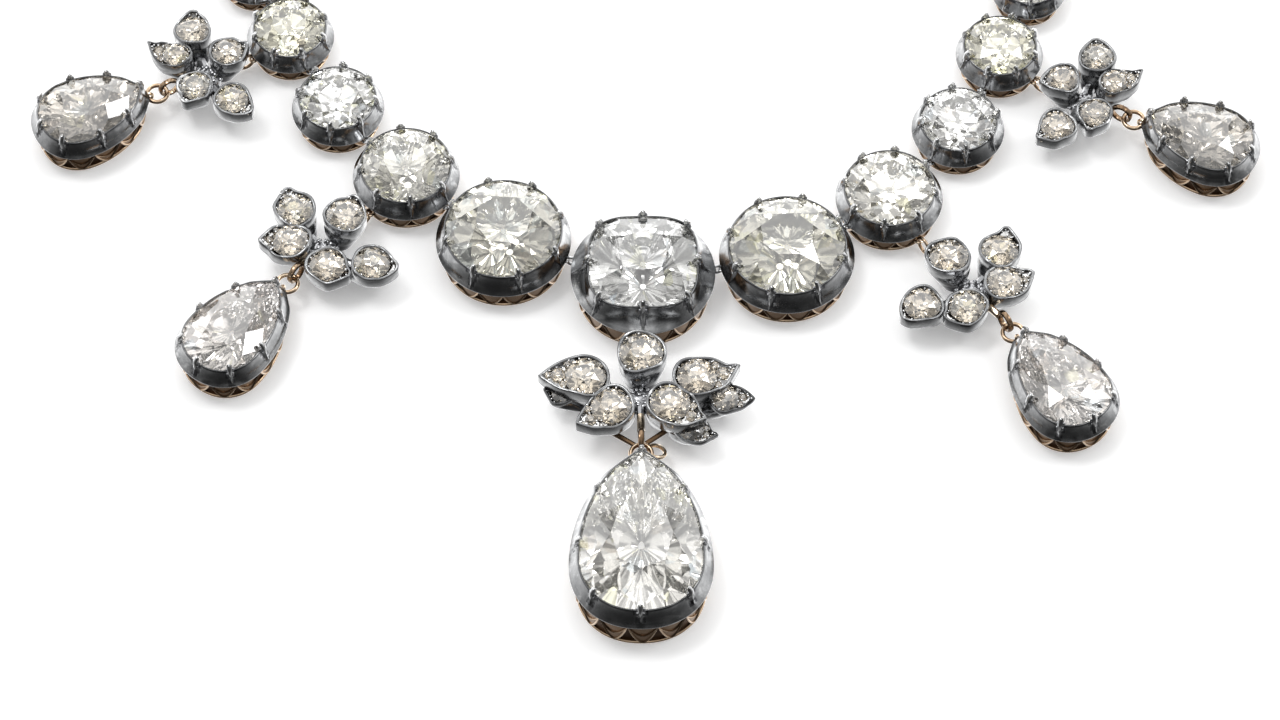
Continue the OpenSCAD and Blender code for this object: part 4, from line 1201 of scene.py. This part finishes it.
# Floor and light, in metres
FLOOR_HALF = 6
FLOOR_GAP = 0.00005
LIGHTS_AIM_AT = Vector((0, -0.03, 0))
SOFT_BOX_WAY = (0.0, math.cos(ELEVATION), math.sin(ELEVATION))
SOFT_BOX_SHADE = 1.6
OVERHEAD_SHADE = 1.05
GAP_SHADE = 0.35
# Dark strips between the diffusers: where each starts, is dark, ends being dark, and ends
GAPS = ((0.14, 0.17, 0.22, 0.25), (0.34, 0.36, 0.4, 0.42), (0.58, 0.6, 0.64, 0.66), (0.75, 0.78, 0.83, 0.86))


def floor():
    mesh = bpy.data.meshes.new("floor")
    half = FLOOR_HALF
    mesh.from_pydata([(-half, -half, 0), (half, -half, 0), (half, half, 0), (-half, half, 0)], [], [(0, 1, 2, 3)])
    obj = bpy.data.objects.new("floor", mesh)
    SCENE.collection.objects.link(obj)
    obj.location.z = -FLOOR_GAP
    material, n, sockets = new_material("pale_glowing_floor")
    n.link(n.ramp(n.noise(3, 2), (0.3, 0.93), (0.7, 0.95)), sockets["Base Color"])
    sockets["Roughness"].default_value = 0.9
    sockets["Specular IOR Level"].default_value = 0.1
    # The floor glows a little, which lightens the shadows cast on it
    sockets["Emission Color"].default_value = (1, 1, 1, 1)
    sockets["Emission Strength"].default_value = 0.24
    mesh.materials.append(material)
    obj.visible_glossy = False


def light(name, at, size, power):
    data = bpy.data.lights.new(name, "AREA")
    data.shape = "RECTANGLE"
    data.size, data.size_y = size
    data.energy = power
    obj = bpy.data.objects.new(name, data)
    SCENE.collection.objects.link(obj)
    obj.location = at
    obj.rotation_euler = (LIGHTS_AIM_AT - Vector(at)).to_track_quat("-Z", "Y").to_euler()


def world():
    """A studio round the necklace: bright overhead and behind, dark on the viewer's side."""
    made = bpy.data.worlds.new("studio")
    SCENE.world = made
    made.use_nodes = True
    n = Nodes(made.node_tree)
    where = n.new("ShaderNodeTexCoord").outputs["Generated"]
    split = n.new("ShaderNodeSeparateXYZ")
    n.link(where, split.inputs[0])

    def share(axis):
        """How far a direction points along an axis, from 0 at its low end to 1."""
        node = n.new("ShaderNodeMath", operation="MULTIPLY_ADD")
        n.link(split.outputs[axis], node.inputs[0])
        node.inputs[1].default_value = node.inputs[2].default_value = 0.5
        return node.outputs[0]

    def ramp(value, *stops):
        return n.ramp(value, *stops, interpolation="EASE")

    by_depth = ramp(
        share("Y"),
        (0.0, 0.03), (0.1, 0.05), (0.25, 0.16), (0.42, 0.5), (0.54, 0.85), (0.7, 1.25), (0.85, 1.6), (1.0, 1.9),
    )
    by_height = ramp(share("Z"), (0.0, 0.0), (0.7, 0.0), (0.8, 0.2), (0.87, 0.42), (0.94, 0.85), (1.0, 1.0))
    strips = [stop for gap in GAPS for stop in zip(gap, (1.0, GAP_SHADE, GAP_SHADE, 1.0))]
    gaps = ramp(share("X"), (0.0, 1.0), *strips, (1.0, 1.0))
    shade = n.mix(by_height, by_depth, OVERHEAD_SHADE)
    # A soft box overhead and behind, where the stones' tables mirror it
    box = n.new("ShaderNodeVectorMath", operation="DOT_PRODUCT")
    n.link(where, box.inputs[0])
    box.inputs[1].default_value = SOFT_BOX_WAY
    shade = n.mix(ramp(box.outputs["Value"], (0.95, 0.0), (0.98, 1.0)), shade, SOFT_BOX_SHADE)
    shade = n.mix(ramp(split.outputs["Z"], (0.1, 0.0), (0.3, 1.0)), shade, gaps, "MULTIPLY")
    back = made.node_tree.nodes["Background"]
    n.link(shade, back.inputs["Color"])
    back.inputs["Strength"].default_value = 1.2


floor()
world()
light("key", (-0.42, 0.18, 1.1), (0.35, 0.35), 3.2)
light("side", (0.62, 0.1, 0.8), (0.25, 0.25), 1.2)

# Light crosses a cut stone many times before it leaves it
SCENE.cycles.max_bounces = 32
SCENE.cycles.glossy_bounces = 28
SCENE.cycles.transmission_bounces = 28

SCENE.view_settings.view_transform = "Standard"
SCENE.view_settings.look = "None"
